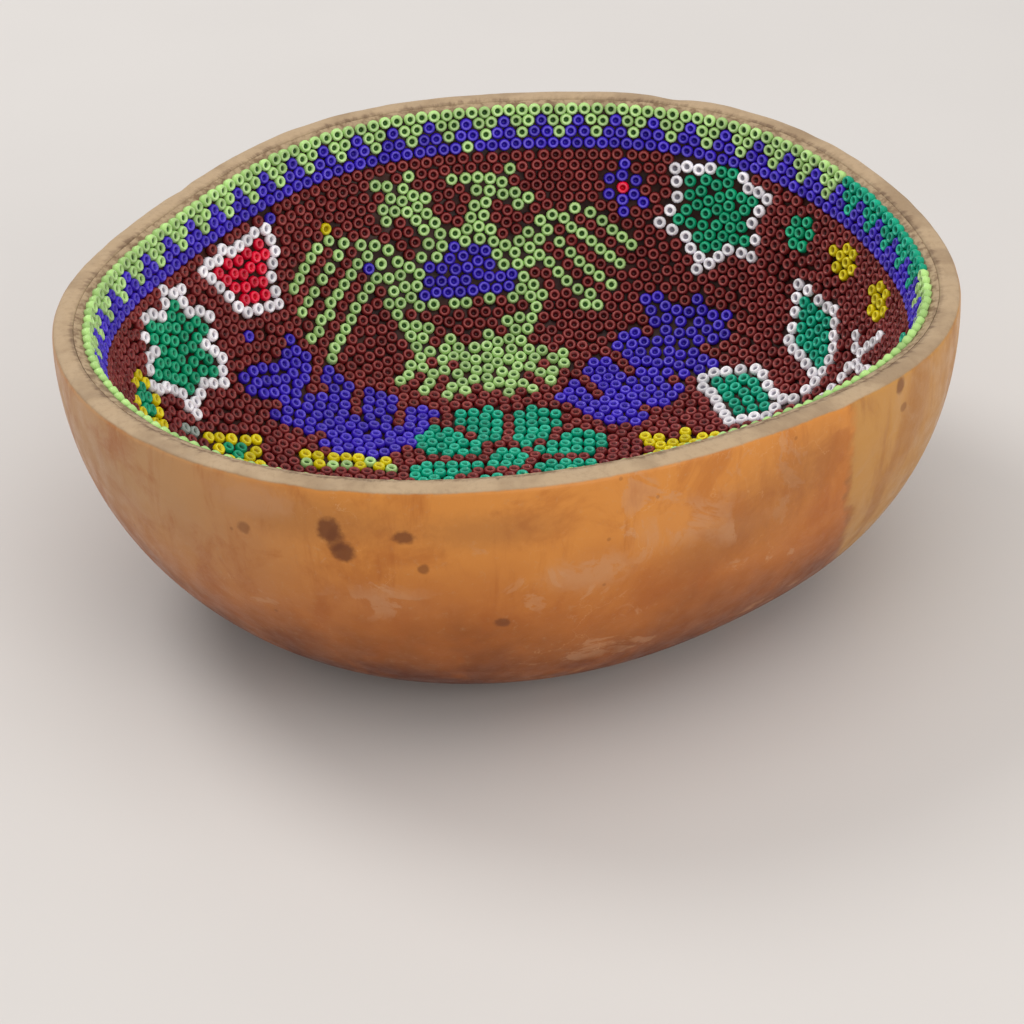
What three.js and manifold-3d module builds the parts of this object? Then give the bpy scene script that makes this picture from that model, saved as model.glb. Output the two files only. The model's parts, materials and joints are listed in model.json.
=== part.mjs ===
// A bowl cut from half a dried gourd. Its hollow is lined with beeswax, and glass seed beads
// are pressed into the wax, hole up, in a toothed border and a field of figures.
// Millimetres, +Z up. The bowl stands on Z = 0 with the middle of its plan box on the Z axis.

import * as THREE from 'three';
import { mergeVertices } from 'three/addons/utils/BufferGeometryUtils.js';
import Module from 'manifold-3d';

const wasm = await Module();
wasm.setup();

const radians = THREE.MathUtils.degToRad;

// Gourd: a rim that is nearly an oval, and sides that turn in to a broad, flat foot.
const rimRadius = 66.5;
const rimHeight = 48;
const rimLobes = [
  { count: 2, swell: 5.1, bearing: 34 },
  { count: 3, swell: 0.85, bearing: 0 },
  { count: 5, swell: 0.7, bearing: -19 },
  { count: 6, swell: 0.5, bearing: -2 },
];
const rimWave = 1.7;
const rimWaveBearing = 85;
const sideFullness = 1.35;
const footFullness = 4.8;
const bellySwell = 2.3;
const footShiftX = 2.6;
const footShiftY = -3.2;
const footShiftEase = 1.5;
const footFlat = 0.4;

// Cavity cut into the gourd.
const rimWall = 3.2;
const rimEdge = 0.5;
const floorThickness = 6.5;
const wallFullness = 2.5;
const floorFullness = 4;
const wallTaper = 3.8;

// Linings, each measured up from the one beneath it.
const waxThickness = 1.1;
const beadHeight = 1.4;
const beadPitch = 2.1;
const beadHole = 0.7;
const seatGap = 0.3;
const waxBelowRim = 0.6;
const beadsBelowRim = 0.5;

// Border: bead courses with three-bead teeth.
const courseCount = 4;
const toothCourses = 3;
const toothBeads = 3;
const tealFrom = 7;
const tealTo = 34;

// Ground: its courses run round the bowl as the border's do, and every third line between them
// shows as a groove.
const grooveCourses = 3;
const grooveWidth = 2.1;
const grooveDepth = 0.5;

// Flower in the floor, its middle set back from the middle of the floor.
const flowerPetals = 8;
const flowerReach = 16.5;
const flowerBearing = 99.1;
const flowerOffset = 15.5;
const flowerTurn = -9.1;
const flowerEye = 6.6;
const petalFrom = 5;
const petalShoulder = 13;
const petalTipWidth = 4.6;

// The grid that the other figures are placed and drawn on: steps round the rim, and steps down
// from the border to the flower. A step is about a millimetre.
const gridRound = 386;
const gridDown = 44.3;

// Fineness of the solids.
const sectors = 56;
const liningSectors = 48;
const slideStep = 9;
const rimSamples = 720;
const fieldSamples = 180;
const bendSample = 0.001;
const cutTolerance = 0.08;

const course = beadPitch * Math.sqrt(3) / 2;
const waxBase = seatGap;
const waxFace = waxThickness;
const beadBase = waxThickness + seatGap;
const beadFace = waxThickness + beadHeight;
const borderDepth = beadsBelowRim + courseCount * course;

// A bearing goes round the bowl from +X. A slide goes down from 0 at the rim to 90 degrees in
// the middle of the floor.
function outlineRadius(bearing) {
  let radius = rimRadius;
  for (const lobe of rimLobes) {
    radius += lobe.swell * Math.cos(lobe.count * (bearing - radians(lobe.bearing)));
  }
  return radius;
}

function rimLevel(bearing) {
  return rimHeight + rimWave * Math.cos(2 * (bearing - radians(rimWaveBearing)));
}

function bowlPoint(bearing, radius, drop, level) {
  const shift = drop ** footShiftEase;
  return new THREE.Vector3(
    radius * Math.cos(bearing) + footShiftX * shift,
    radius * Math.sin(bearing) + footShiftY * shift,
    level,
  );
}

function skinPoint(bearing, slide) {
  const drop = Math.sin(slide) ** (2 / sideFullness);
  const spread = Math.max(0, Math.cos(slide)) ** (2 / footFullness);
  const radius = (outlineRadius(bearing) + bellySwell * Math.sin(Math.PI * drop)) * spread;
  const rim = rimLevel(bearing);
  return bowlPoint(bearing, radius, drop, rim - (rim + footFlat) * drop);
}

function cavityPoint(bearing, slide) {
  const drop = Math.sin(slide) ** (2 / wallFullness);
  const spread = Math.max(0, Math.cos(slide)) ** (2 / floorFullness);
  const taper = wallTaper * Math.sin(Math.PI * drop);
  const radius = (outlineRadius(bearing) - rimWall - taper) * spread;
  const rim = rimLevel(bearing);
  return bowlPoint(bearing, radius, drop, rim - (rim - floorThickness) * drop);
}

// The slope of the cavity wall round the bowl and down it.
function cavitySlopes(bearing, slide) {
  const at = THREE.MathUtils.clamp(slide, radians(1), radians(89));
  const round = cavityPoint(bearing + bendSample, at).sub(cavityPoint(bearing - bendSample, at));
  const down = cavityPoint(bearing, at + bendSample).sub(cavityPoint(bearing, at - bendSample));
  return { round: round.normalize(), down: down.normalize() };
}

// A point raised off the cavity wall, towards the hollow.
function liftedPoint(bearing, slide, lift) {
  const { round, down } = cavitySlopes(bearing, slide);
  const normal = new THREE.Vector3().crossVectors(round, down).normalize();
  return cavityPoint(bearing, slide).addScaledVector(normal, lift);
}

function slideAtDepth(bearing, depth) {
  const drop = depth / (rimLevel(bearing) - floorThickness);
  return Math.asin(drop ** (wallFullness / 2));
}

function floorCentre(lift) {
  return new THREE.Vector3(footShiftX, footShiftY, floorThickness + lift);
}

// Solids from lists of points and triangles, and back.
function solidFrom(points, triangles) {
  const loose = new THREE.BufferGeometry().setFromPoints(points);
  loose.setIndex(triangles.flat());
  const joined = mergeVertices(loose);
  return new wasm.Manifold(new wasm.Mesh({
    numProp: 3,
    vertProperties: joined.attributes.position.array,
    triVerts: new Uint32Array(joined.index.array),
  }));
}

function geometryOf(solid) {
  const { vertProperties, triVerts } = solid.getMesh();
  const geometry = new THREE.BufferGeometry();
  geometry.setAttribute('position', new THREE.BufferAttribute(vertProperties, 3));
  geometry.setIndex(new THREE.BufferAttribute(triVerts, 1));
  geometry.computeVertexNormals();
  return geometry;
}

// A cut solid without the needless corners that cutting leaves in flat faces.
function merged(solid) {
  return solid.asOriginal().simplify(cutTolerance);
}

const bowl = new THREE.Group();

function addPiece(name, solid, finish) {
  const piece = new THREE.Mesh(geometryOf(solid), new THREE.MeshStandardMaterial(finish));
  piece.name = name;
  bowl.add(piece);
  return piece;
}

// A closed body of the bowl's kind: a profile from one pole to another at every bearing.
function spunBody(profileAt, count) {
  const points = [];
  const triangles = [];
  let stations = 0;
  for (let i = 0; i < count; i += 1) {
    const profile = profileAt(2 * Math.PI * i / count);
    stations = profile.length;
    points.push(...profile);
  }
  for (let i = 0; i < count; i += 1) {
    const here = i * stations;
    const next = ((i + 1) % count) * stations;
    triangles.push([here, next + 1, here + 1]);
    for (let k = 1; k < stations - 2; k += 1) {
      triangles.push([here + k, next + k + 1, here + k + 1]);
      triangles.push([here + k, next + k, next + k + 1]);
    }
    triangles.push([here + stations - 2, next + stations - 2, here + stations - 1]);
  }
  return solidFrom(points, triangles);
}

// A bar of one section that follows a list of sections, closed on itself or capped.
function bandBody(sections, closed) {
  const sides = sections[0].length;
  const points = sections.flat();
  const triangles = [];
  const runs = closed ? sections.length : sections.length - 1;
  for (let i = 0; i < runs; i += 1) {
    const here = i * sides;
    const next = ((i + 1) % sections.length) * sides;
    for (let k = 0; k < sides; k += 1) {
      const turn = (k + 1) % sides;
      triangles.push([here + k, next + k, next + turn]);
      triangles.push([here + k, next + turn, here + turn]);
    }
  }
  if (!closed) {
    const last = runs * sides;
    triangles.push([0, 1, 2], [0, 2, 3]);
    triangles.push([last, last + 2, last + 1], [last, last + 3, last + 2]);
  }
  return solidFrom(points, triangles);
}

const slides = [];
for (let angle = slideStep; angle < 90; angle += slideStep) {
  slides.push(radians(angle));
}

// Gourd shell
function gourdProfile(bearing) {
  const radius = outlineRadius(bearing);
  const rim = rimLevel(bearing);
  const footSlide = Math.asin((rim / (rim + footFlat)) ** (sideFullness / 2));
  const skin = slides.filter((slide) => slide < radians(90 - slideStep));
  return [
    new THREE.Vector3(footShiftX, footShiftY, 0),
    skinPoint(bearing, footSlide),
    ...skin.toReversed().map((slide) => skinPoint(bearing, slide)),
    bowlPoint(bearing, radius, 0, rim - rimEdge),
    bowlPoint(bearing, radius - rimEdge, 0, rim),
    bowlPoint(bearing, radius - rimWall + rimEdge, 0, rim),
    bowlPoint(bearing, radius - rimWall, 0, rim - rimEdge),
    ...slides.map((slide) => cavityPoint(bearing, slide)),
    floorCentre(0),
  ];
}

const gourd = addPiece('gourd_shell', spunBody(gourdProfile, sectors), {
  color: 0xc98443,
  roughness: 0.42,
  metalness: 0,
});

// A lining between two lifts, from a depth below the rim down to the middle of the floor.
function liningProfile(bearing, base, face, depth) {
  const top = slideAtDepth(bearing, depth);
  const highest = slideAtDepth(radians(rimWaveBearing), depth);
  const rings = slides.filter((slide) => slide > highest + radians(slideStep / 2));
  return [
    floorCentre(base),
    ...rings.toReversed().map((slide) => liftedPoint(bearing, slide, base)),
    liftedPoint(bearing, top, base),
    liftedPoint(bearing, top, face),
    ...rings.map((slide) => liftedPoint(bearing, slide, face)),
    floorCentre(face),
  ];
}

const waxProfile = (bearing) => liningProfile(bearing, waxBase, waxFace, waxBelowRim);
addPiece('wax_lining', spunBody(waxProfile, liningSectors), {
  color: 0x7a6330,
  roughness: 0.5,
  metalness: 0,
});

// Glass of each bead colour
const glass = (color, roughness) => ({ color, roughness, metalness: 0 });
const lightGreen = glass(0xa5cd78, 0.35);
const green = glass(0x00784a, 0.2);
const teal = glass(0x009470, 0.2);
const blue = glass(0x2a1a9a, 0.2);
const oxblood = glass(0x46090b, 0.2);
const yellow = glass(0xd0b800, 0.25);
const red = glass(0xc8102e, 0.2);
const white = glass(0xe9e6f2, 0.3);
const clear = glass(0x9fb0a8, 0.15);

// Even steps along the rim of the bead bed, by arc length.
const rimRun = [0];
for (let i = 1; i <= rimSamples; i += 1) {
  const from = liftedPoint(2 * Math.PI * (i - 1) / rimSamples, 0, beadFace);
  const to = liftedPoint(2 * Math.PI * i / rimSamples, 0, beadFace);
  rimRun.push(rimRun[i - 1] + from.distanceTo(to));
}
const rimLength = rimRun[rimSamples];

function bearingAtRun(run) {
  const lap = Math.floor(run / rimLength);
  const rest = run - lap * rimLength;
  let i = 1;
  while (i < rimSamples && rimRun[i] < rest) {
    i += 1;
  }
  const share = (rest - rimRun[i - 1]) / (rimRun[i] - rimRun[i - 1]);
  return 2 * Math.PI * (lap + (i - 1 + share) / rimSamples);
}

function runAtBearing(bearing) {
  return rimRun[Math.round(bearing / (2 * Math.PI) * rimSamples)];
}

// Border: light teeth with a short run of teal ones, set into a blue band.
const toothCount = Math.round(rimLength / (toothBeads * beadPitch));
const toothRun = rimLength / toothCount;
const rootDepth = beadsBelowRim + course;
const tipDepth = beadsBelowRim + toothCourses * course;

function borderSection(run, top, bottom) {
  const bearing = bearingAtRun(run);
  const high = slideAtDepth(bearing, top);
  const low = slideAtDepth(bearing, bottom);
  return [
    liftedPoint(bearing, high, beadFace),
    liftedPoint(bearing, low, beadFace),
    liftedPoint(bearing, low, beadBase),
    liftedPoint(bearing, high, beadBase),
  ];
}

// The teeth's lower edge, as steps of run and depth, for a span of whole teeth.
function toothEdge(first, count) {
  const edge = [];
  for (let i = first; i < first + count; i += 1) {
    edge.push({ run: i * toothRun, depth: rootDepth });
    edge.push({ run: (i + 0.5) * toothRun, depth: tipDepth });
  }
  return edge;
}

function toothedCourse(first, count) {
  const edge = toothEdge(first, count);
  edge[0].run += seatGap / 2;
  edge.push({ run: (first + count) * toothRun - seatGap / 2, depth: rootDepth });
  return bandBody(edge.map(({ run, depth }) => borderSection(run, beadsBelowRim, depth)), false);
}

const firstTeal = Math.round(runAtBearing(radians(tealFrom)) / toothRun);
const tealTeeth = Math.round(runAtBearing(radians(tealTo)) / toothRun) - firstTeal;
const firstLight = firstTeal + tealTeeth;
addPiece('border_teeth_light', toothedCourse(firstLight, toothCount - tealTeeth), lightGreen);
addPiece('border_teeth_teal', toothedCourse(firstTeal, tealTeeth), teal);

const bandSections = toothEdge(0, toothCount).map(({ run, depth }) => (
  borderSection(run, depth + seatGap, borderDepth)
));
addPiece('border_band_blue', bandBody(bandSections, true), blue);

// The bead bed inside the border. Figures are cut out of it in turn, and what is left of it is
// the ground.
const bedProfile = (bearing) => (
  liningProfile(bearing, beadBase, beadFace, borderDepth + seatGap)
);
let bed = spunBody(bedProfile, liningSectors);

// The field at a bearing: slides and lengths down the wall, from the border to the flower or
// else to the middle of the floor.
const outward = new THREE.Vector3(1, 0, 0);
const upright = new THREE.Vector3(0, 0, 1);
const flowerCentre = outward.clone()
  .applyAxisAngle(upright, radians(flowerBearing))
  .multiplyScalar(flowerOffset)
  .add(floorCentre(beadFace));

function fieldRuns(bearing) {
  const top = slideAtDepth(bearing, borderDepth);
  const runs = [{ slide: top, run: 0 }];
  let here = liftedPoint(bearing, top, beadFace);
  for (let i = 1; i <= fieldSamples; i += 1) {
    const slide = THREE.MathUtils.lerp(top, Math.PI / 2, i / fieldSamples);
    const next = liftedPoint(bearing, slide, beadFace);
    const before = here.distanceTo(flowerCentre);
    const after = next.distanceTo(flowerCentre);
    const share = after < flowerReach ? (before - flowerReach) / (before - after) : 1;
    const last = runs.at(-1);
    runs.push({
      slide: THREE.MathUtils.lerp(last.slide, slide, share),
      run: last.run + share * here.distanceTo(next),
    });
    if (share < 1) {
      break;
    }
    here = next;
  }
  return runs;
}

function slideAtSteps(bearing, steps) {
  const runs = fieldRuns(bearing);
  const wanted = runs.at(-1).run * steps / gridDown;
  const low = Math.max(1, runs.findIndex(({ run }) => run >= wanted));
  const share = (wanted - runs[low - 1].run) / (runs[low].run - runs[low - 1].run);
  return THREE.MathUtils.lerp(runs[low - 1].slide, runs[low].slide, share);
}

// A drawing board touches the bed at a bearing, some grid steps below the border. On it x runs
// right and y up the wall, as seen from the sight point in the mouth of the bowl. What is drawn
// on it is thrown on to the bed along the lines of sight.
const sightPoint = new THREE.Vector3(footShiftX, footShiftY, rimHeight);
const sightNear = 0.6;
const sightFar = 1.5;

function boardAt(bearingDegrees, steps, turnDegrees = 0) {
  const bearing = radians(bearingDegrees);
  const slide = slideAtSteps(bearing, steps);
  const { round, down } = cavitySlopes(bearing, slide);
  const normal = new THREE.Vector3().crossVectors(round, down).normalize();
  const right = round.negate().applyAxisAngle(normal, radians(turnDegrees));
  const up = new THREE.Vector3().crossVectors(normal, right);
  const centre = liftedPoint(bearing, slide, beadFace);
  return { centre, right, up };
}

function onBoard(board, point) {
  return board.centre.clone()
    .addScaledVector(board.right, point.x)
    .addScaledVector(board.up, point.y);
}

function thrownShape(board, outline) {
  const anticlockwise = THREE.ShapeUtils.isClockWise(outline) ? outline.toReversed() : outline;
  const count = anticlockwise.length;
  const drawn = anticlockwise.map((point) => onBoard(board, point).sub(sightPoint));
  const near = drawn.map((sight) => sight.clone().multiplyScalar(sightNear).add(sightPoint));
  const far = drawn.map((sight) => sight.clone().multiplyScalar(sightFar).add(sightPoint));
  const triangles = [];
  for (const [a, b, c] of THREE.ShapeUtils.triangulateShape(anticlockwise, [])) {
    triangles.push([a, b, c], [count + a, count + c, count + b]);
  }
  for (let i = 0; i < count; i += 1) {
    const next = (i + 1) % count;
    triangles.push([i, count + i, count + next], [i, count + next, next]);
  }
  return solidFrom([...near, ...far], triangles);
}

// An outline moved outwards all round, by its corners. A sharp corner is cut short, as a line
// of beads turns it.
function grown(outline, by) {
  const ring = THREE.ShapeUtils.isClockWise(outline) ? outline.toReversed() : outline;
  const sharpest = 0.6;
  return ring.map((point, i) => {
    const before = ring.at(i - 1);
    const after = ring[(i + 1) % ring.length];
    const inDirection = point.clone().sub(before).normalize();
    const outDirection = after.clone().sub(point).normalize();
    const inSide = new THREE.Vector2(inDirection.y, -inDirection.x);
    const outSide = new THREE.Vector2(outDirection.y, -outDirection.x);
    const corner = inSide.clone().add(outSide).normalize();
    return point.clone().addScaledVector(corner, by / Math.max(sharpest, corner.dot(inSide)));
  });
}

// Outlines. A figure's points are in grid steps, and a bead or a petal is in millimetres.
const stepRound = rimLength / gridRound;
const stepDown = fieldRuns(radians(flowerBearing)).at(-1).run / gridDown;
const at = (x, y) => new THREE.Vector2(x * stepRound, y * stepDown);

function polygon(...pairs) {
  return pairs.map(([x, y]) => at(x, y));
}

function oval(width, height, count = 12, centre = at(0, 0)) {
  return Array.from({ length: count }, (_, i) => {
    const angle = 2 * Math.PI * i / count;
    return new THREE.Vector2(width / 2 * Math.cos(angle), height / 2 * Math.sin(angle)).add(centre);
  });
}

function star(points, reach, waist, turn = 90) {
  return Array.from({ length: 2 * points }, (_, i) => {
    const radius = i % 2 ? waist : reach;
    const angle = radians(turn + 180 * i / points);
    return at(radius * Math.cos(angle), radius * Math.sin(angle));
  });
}

// A run of beads from one point to another, with a blunt nose at each end.
function strand(from, to, width = beadPitch) {
  const noseShare = 0.4;
  const along = to.clone().sub(from).normalize();
  const side = new THREE.Vector2(-along.y, along.x).multiplyScalar(width / 2);
  const nose = along.clone().multiplyScalar(beadPitch / 2);
  const shoulder = along.clone().multiplyScalar(beadPitch / 4);
  return [
    from.clone().sub(shoulder).sub(side),
    to.clone().add(shoulder).sub(side),
    to.clone().add(nose).addScaledVector(side, -noseShare),
    to.clone().add(nose).addScaledVector(side, noseShare),
    to.clone().add(shoulder).add(side),
    from.clone().sub(shoulder).add(side),
    from.clone().sub(nose).addScaledVector(side, noseShare),
    from.clone().sub(nose).addScaledVector(side, -noseShare),
  ];
}

function strands(points, width = beadPitch) {
  return points.slice(1).map((point, i) => strand(points[i], point, width));
}

// Pieces of the bed
function thrownShapes(board, outlines) {
  return outlines
    .map((outline) => thrownShape(board, outline))
    .reduce((joined, shape) => joined.add(shape));
}

function addInlay(name, finish, board, outlines) {
  const inlay = bed.intersect(thrownShapes(board, outlines));
  addPiece(name, merged(inlay), finish);
  bed = merged(bed.subtract(thrownShapes(board, outlines.map((line) => grown(line, seatGap)))));
}

// A figure with a single line of beads round it.
function addOutlined(name, finish, edgeFinish, board, outline) {
  addInlay(name, finish, board, [outline]);
  addInlay(name + '_outline', edgeFinish, board, [grown(outline, seatGap + beadPitch)]);
}

function addLoneBead(name, finish, board, x, y) {
  const ring = oval(beadPitch, beadPitch, 8, at(x, y));
  const hole = oval(beadHole, beadHole, 4, at(x, y));
  const bead = bed.intersect(thrownShape(board, ring)).subtract(thrownShape(board, hole));
  addPiece(name, merged(bead), finish);
  bed = merged(bed.subtract(thrownShape(board, grown(ring, seatGap))));
}

// Two-headed bird, with a flame in its breast
const breastBoard = boardAt(99, 22.1);
addInlay('bird_flame', blue, breastBoard, [polygon(
  [-9, -2.2], [-7.2, 0.4], [-8, 4.2], [-4, 3.6], [-2.4, 7.9], [0.4, 5.4],
  [3.8, 7.2], [4.2, 2.4], [8.4, 1.4], [7.2, -1.8],
)]);

const tailBoard = boardAt(97.2, 34.8);
addInlay('bird_tail', lightGreen, tailBoard, [
  polygon(
    [-11.6, 2.8], [-8.2, 2.8], [-6.2, 6.2], [-3.9, 3.2], [-1.2, 3.2], [0.6, 6.4], [2.6, 3.2],
    [5.8, 3.4], [5, 0.9], [1.6, -1.4], [0.2, -5.6], [-2.4, -3.4], [-6.2, -0.4], [-10.8, 0.8],
  ),
  strand(at(-10.4, 1.6), at(-15.2, -3.6)),
  strand(at(-7, 0.9), at(-12.4, -5.8)),
  strand(at(-4.3, -0.4), at(-9, -7.4)),
  strand(at(-2.4, -1.8), at(-4.8, -6.4)),
  strand(at(-0.6, -3.6), at(-1.3, -6.2)),
  strand(at(0.6, -4.4), at(2.6, -7.2)),
  strand(at(1.2, -2.2), at(6.4, -6.8)),
  strand(at(2.8, 0.2), at(10, -5)),
  strand(at(4.8, 2.4), at(12, -2)),
]);

addInlay('bird_breast', oxblood, breastBoard, [polygon(
  [-11.6, -3], [9.8, -2.8], [8.8, -4.5], [4.4, -4.9], [6, -8.4], [6.6, -11],
  [-8.8, -11], [-8, -8.6], [-6, -4.9], [-11, -4.6],
)]);

addInlay('bird_body', lightGreen, breastBoard, [polygon(
  [-6.6, 9.2], [-9.2, 5.2], [-11.6, 3.6], [-15, 3.4], [-14.2, 0], [-15.4, -2.2], [-13.4, -6],
  [-10.8, -10.4], [7.6, -10.4], [11.4, -5.8], [12.8, -2], [10.4, 0.8], [10.8, 3.6],
  [7.6, 5.4], [4.8, 9.2], [0.8, 10.2], [-3.4, 10.2],
)]);

addInlay('bird_head_left', lightGreen, breastBoard, [
  strand(at(-5.2, 9), at(-10.6, 17.2), 2 * beadPitch),
  strand(at(-11.4, 15.8), at(-14.2, 13.2), 1.8 * beadPitch),
  strand(at(-16, 18.8), at(-11, 18.4)),
  strand(at(-10.8, 18), at(-9.4, 20.2)),
]);

addInlay('bird_head_right', lightGreen, breastBoard, [
  strand(at(2, 9), at(3.4, 17), 1.8 * beadPitch),
  strand(at(-2, 18.8), at(4.8, 18.4)),
  strand(at(4.6, 17.8), at(10.4, 13.8), 1.7 * beadPitch),
  strand(at(2.8, 18.4), at(3.1, 20)),
  strand(at(5.6, 18.2), at(8.4, 19.8)),
]);

const leftWingBoard = boardAt(125, 18.8);
addLoneBead('bead_blue_3', blue, leftWingBoard, 6, 3.4);
addInlay('bird_wing_left', lightGreen, leftWingBoard, [
  strand(at(8.6, 6), at(11.6, 0), 2.6 * beadPitch),
  strand(at(-0.6, 10.8), at(8.2, 7.4)),
  strand(at(-0.6, 10.8), at(-8.6, 5.2)),
  strand(at(3.4, 8.8), at(-8.6, 0.6)),
  strand(at(6.8, 6.6), at(-8, -3.6)),
  strand(at(8.6, 3), at(-6.6, -7.8)),
]);

const rightWingBoard = boardAt(78.2, 17.3);
addInlay('bird_wing_right', lightGreen, rightWingBoard, [
  strand(at(-7, 5.2), at(-11.4, -1), 2 * beadPitch),
  strand(at(-7.2, 6.6), at(0.4, 9.2)),
  strand(at(0.4, 9.2), at(8.7, 2.7)),
  strand(at(-3.2, 7.2), at(6.4, -0.7)),
  strand(at(-5.6, 5), at(5, -4.3)),
  strand(at(-8, 1.6), at(3.3, -7.9)),
]);

// Leaves with slits between their lobes, one on each side of the tail
const leftLeafBoard = boardAt(138.9, 28.4);
addInlay('leaf_left', blue, leftLeafBoard, [polygon(
  [-15.4, 11.4], [-8.6, 11.4], [-5.2, 8.6], [-0.4, 13.2], [2.2, 7.4], [-2.8, 2], [-0.8, 0.6],
  [3.2, 4.2], [5.8, -0.2], [0, -5], [1.5, -6.2], [6.4, -2.8], [9.2, -6.6], [3.2, -10.6],
  [4.3, -11.9], [9.6, -9], [11.8, -13], [5.6, -15.6], [-4.2, -15.6], [-7, -13.6],
  [-10.4, -6.2], [-5.8, -5.4], [-11.6, -2.4], [-13.2, 2.2], [-8.4, 2.6], [-14, 6.4],
)]);

const rightLeafBoard = boardAt(63.1, 27.5);
addInlay('leaf_right', blue, rightLeafBoard, [polygon(
  [-1.2, 10.4], [0.4, 13], [4.4, 9.4], [6, 10], [8.3, 13.6], [9.4, 9], [15, 11], [14, 4.4],
  [7.4, 1.9], [12, 0.8], [11.3, -3.4], [4, -5.3], [8.6, -6.6], [8, -10], [0.8, -11.7],
  [5.6, -13], [4.2, -16.4], [-2.6, -16.4], [-12.4, -11.8], [-10, -8.4], [-5, -11.5],
  [-3.8, -10.1], [-9.6, -6.4], [-7.8, -2.8], [-5.4, -2.4], [-1.8, -5.5], [-0.9, -4],
  [-6, 0], [-3, 4.2], [0.2, 1.9], [1.9, 3], [-1.6, 6.4],
)]);

// Flower in the floor
const flowerUp = outward.clone().applyAxisAngle(upright, radians(flowerBearing + flowerTurn));
const flowerRight = new THREE.Vector3().crossVectors(flowerUp, upright);
const flowerBoard = { centre: flowerCentre, right: flowerRight, up: flowerUp };

function petalOutline(turn) {
  const halfWidth = (radius) => (
    (radius * Math.sin(Math.PI / flowerPetals) - beadPitch / 2) / Math.cos(Math.PI / flowerPetals)
  );
  return [
    new THREE.Vector2(petalFrom, -halfWidth(petalFrom)),
    new THREE.Vector2(petalShoulder, -halfWidth(petalShoulder)),
    new THREE.Vector2(flowerReach, -petalTipWidth / 2),
    new THREE.Vector2(flowerReach, petalTipWidth / 2),
    new THREE.Vector2(petalShoulder, halfWidth(petalShoulder)),
    new THREE.Vector2(petalFrom, halfWidth(petalFrom)),
  ].map((point) => point.rotateAround(at(0, 0), turn));
}

for (let i = 0; i < flowerPetals; i += 1) {
  const turn = 2 * Math.PI * (i + 0.5) / flowerPetals;
  addInlay('flower_petal_' + (i + 1), teal, flowerBoard, [petalOutline(turn)]);
}
addInlay('flower_eye', teal, flowerBoard, [oval(flowerEye, flowerEye, 8)]);

// Arrowhead
addOutlined('arrowhead', red, white, boardAt(144.6, 5.6), polygon(
  [-7, 2.6], [5.8, 2.8], [6.4, 0.8], [3.6, -3.4], [3, -7], [-2.6, -5.6],
));

// Turtle
addOutlined('turtle', green, white, boardAt(166, 7.8, -24), polygon(
  [-1.6, 8], [0.4, 8], [1.4, 4.8], [6.6, 3.8], [6.8, 2.2], [4, 0],
  [7.6, -2.8], [7.4, -4.6], [2.8, -5], [0, -8.2], [-2.6, -5], [-8.8, -4.8], [-8.8, -3],
  [-5.5, 0], [-8, 2.2], [-7.4, 3.6], [-2.6, 4.4],
));

// Stars below the border
addOutlined('star_green', green, white, boardAt(55.8, 5.9), star(6, 8, 5.4, 86));

const blueStarBoard = boardAt(71.4, 5.5);
addLoneBead('star_blue_eye', red, blueStarBoard, 0, 0);
addInlay('star_blue', blue, blueStarBoard, [star(6, 4.4, 2.8)]);

addInlay('star_small', green, boardAt(39.7, 4), [star(6, 4, 2.6, 75)]);
addInlay('star_yellow_1', yellow, boardAt(28.5, 3.1), [star(6, 4.6, 2.4, 110)]);
addInlay('star_yellow_2', yellow, boardAt(16.4, 3.2), [star(6, 4.6, 2.4, 115)]);
addInlay('star_teal', teal, boardAt(0.5, 2.5), [star(6, 3.8, 2.4)]);
addInlay('star_near_1', yellow, boardAt(207, 3.2), [star(6, 4.4, 2.4)]);
addInlay('star_near_2', green, boardAt(238, 3.4), [star(6, 4.4, 2.4)]);
addInlay('star_near_3', blue, boardAt(272, 3.8), [star(6, 4.4, 2.4)]);
addInlay('star_near_4', teal, boardAt(306, 3.8), [star(6, 4.4, 2.4)]);
addInlay('star_near_5', yellow, boardAt(338, 3.3), [star(6, 4.4, 2.4)]);

// Plant with two leaves and a branch
addOutlined('plant_leaf_upper', teal, white, boardAt(30.9, 12), polygon(
  [-5.8, 3.2], [2.8, 3.2], [5.8, -2.2], [5.6, -4.8], [-2.6, -3.4],
));
addOutlined('plant_leaf_lower', teal, white, boardAt(38, 23.7), polygon(
  [-7, -0.4], [-1.2, 4], [6.4, 1.8], [6.6, 0], [2.8, -3.8], [-6, -1.2],
));
const branchBoard = boardAt(17.6, 11.5);
addInlay('plant_stem', white, branchBoard, strands([at(-6, -6.4), at(-6.8, -9), at(-8, -12)]));
addInlay('plant_branch', white, branchBoard, [
  ...strands([at(-2, -6.4), at(-0.6, 1), at(0.6, 4), at(4.6, 8.8)]),
  strand(at(-0.4, 3.4), at(-3, 5.4)),
  strand(at(-0.6, 1), at(6.2, 3.6)),
]);

// Smaller figures where the walls meet the floor
addInlay('crown', yellow, boardAt(35.7, 34), [polygon(
  [-7.2, -2.8], [-4.3, -0.5], [-2.1, -1], [-1.9, 1.4], [-4, 3.6], [-2.4, 4.6], [0.2, 3],
  [0.1, 6], [2, 6], [2.8, 1.5], [1.2, -2.8], [0.6, -6.8], [-1.4, -6.4], [-1.2, -3.2],
)]);

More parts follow.
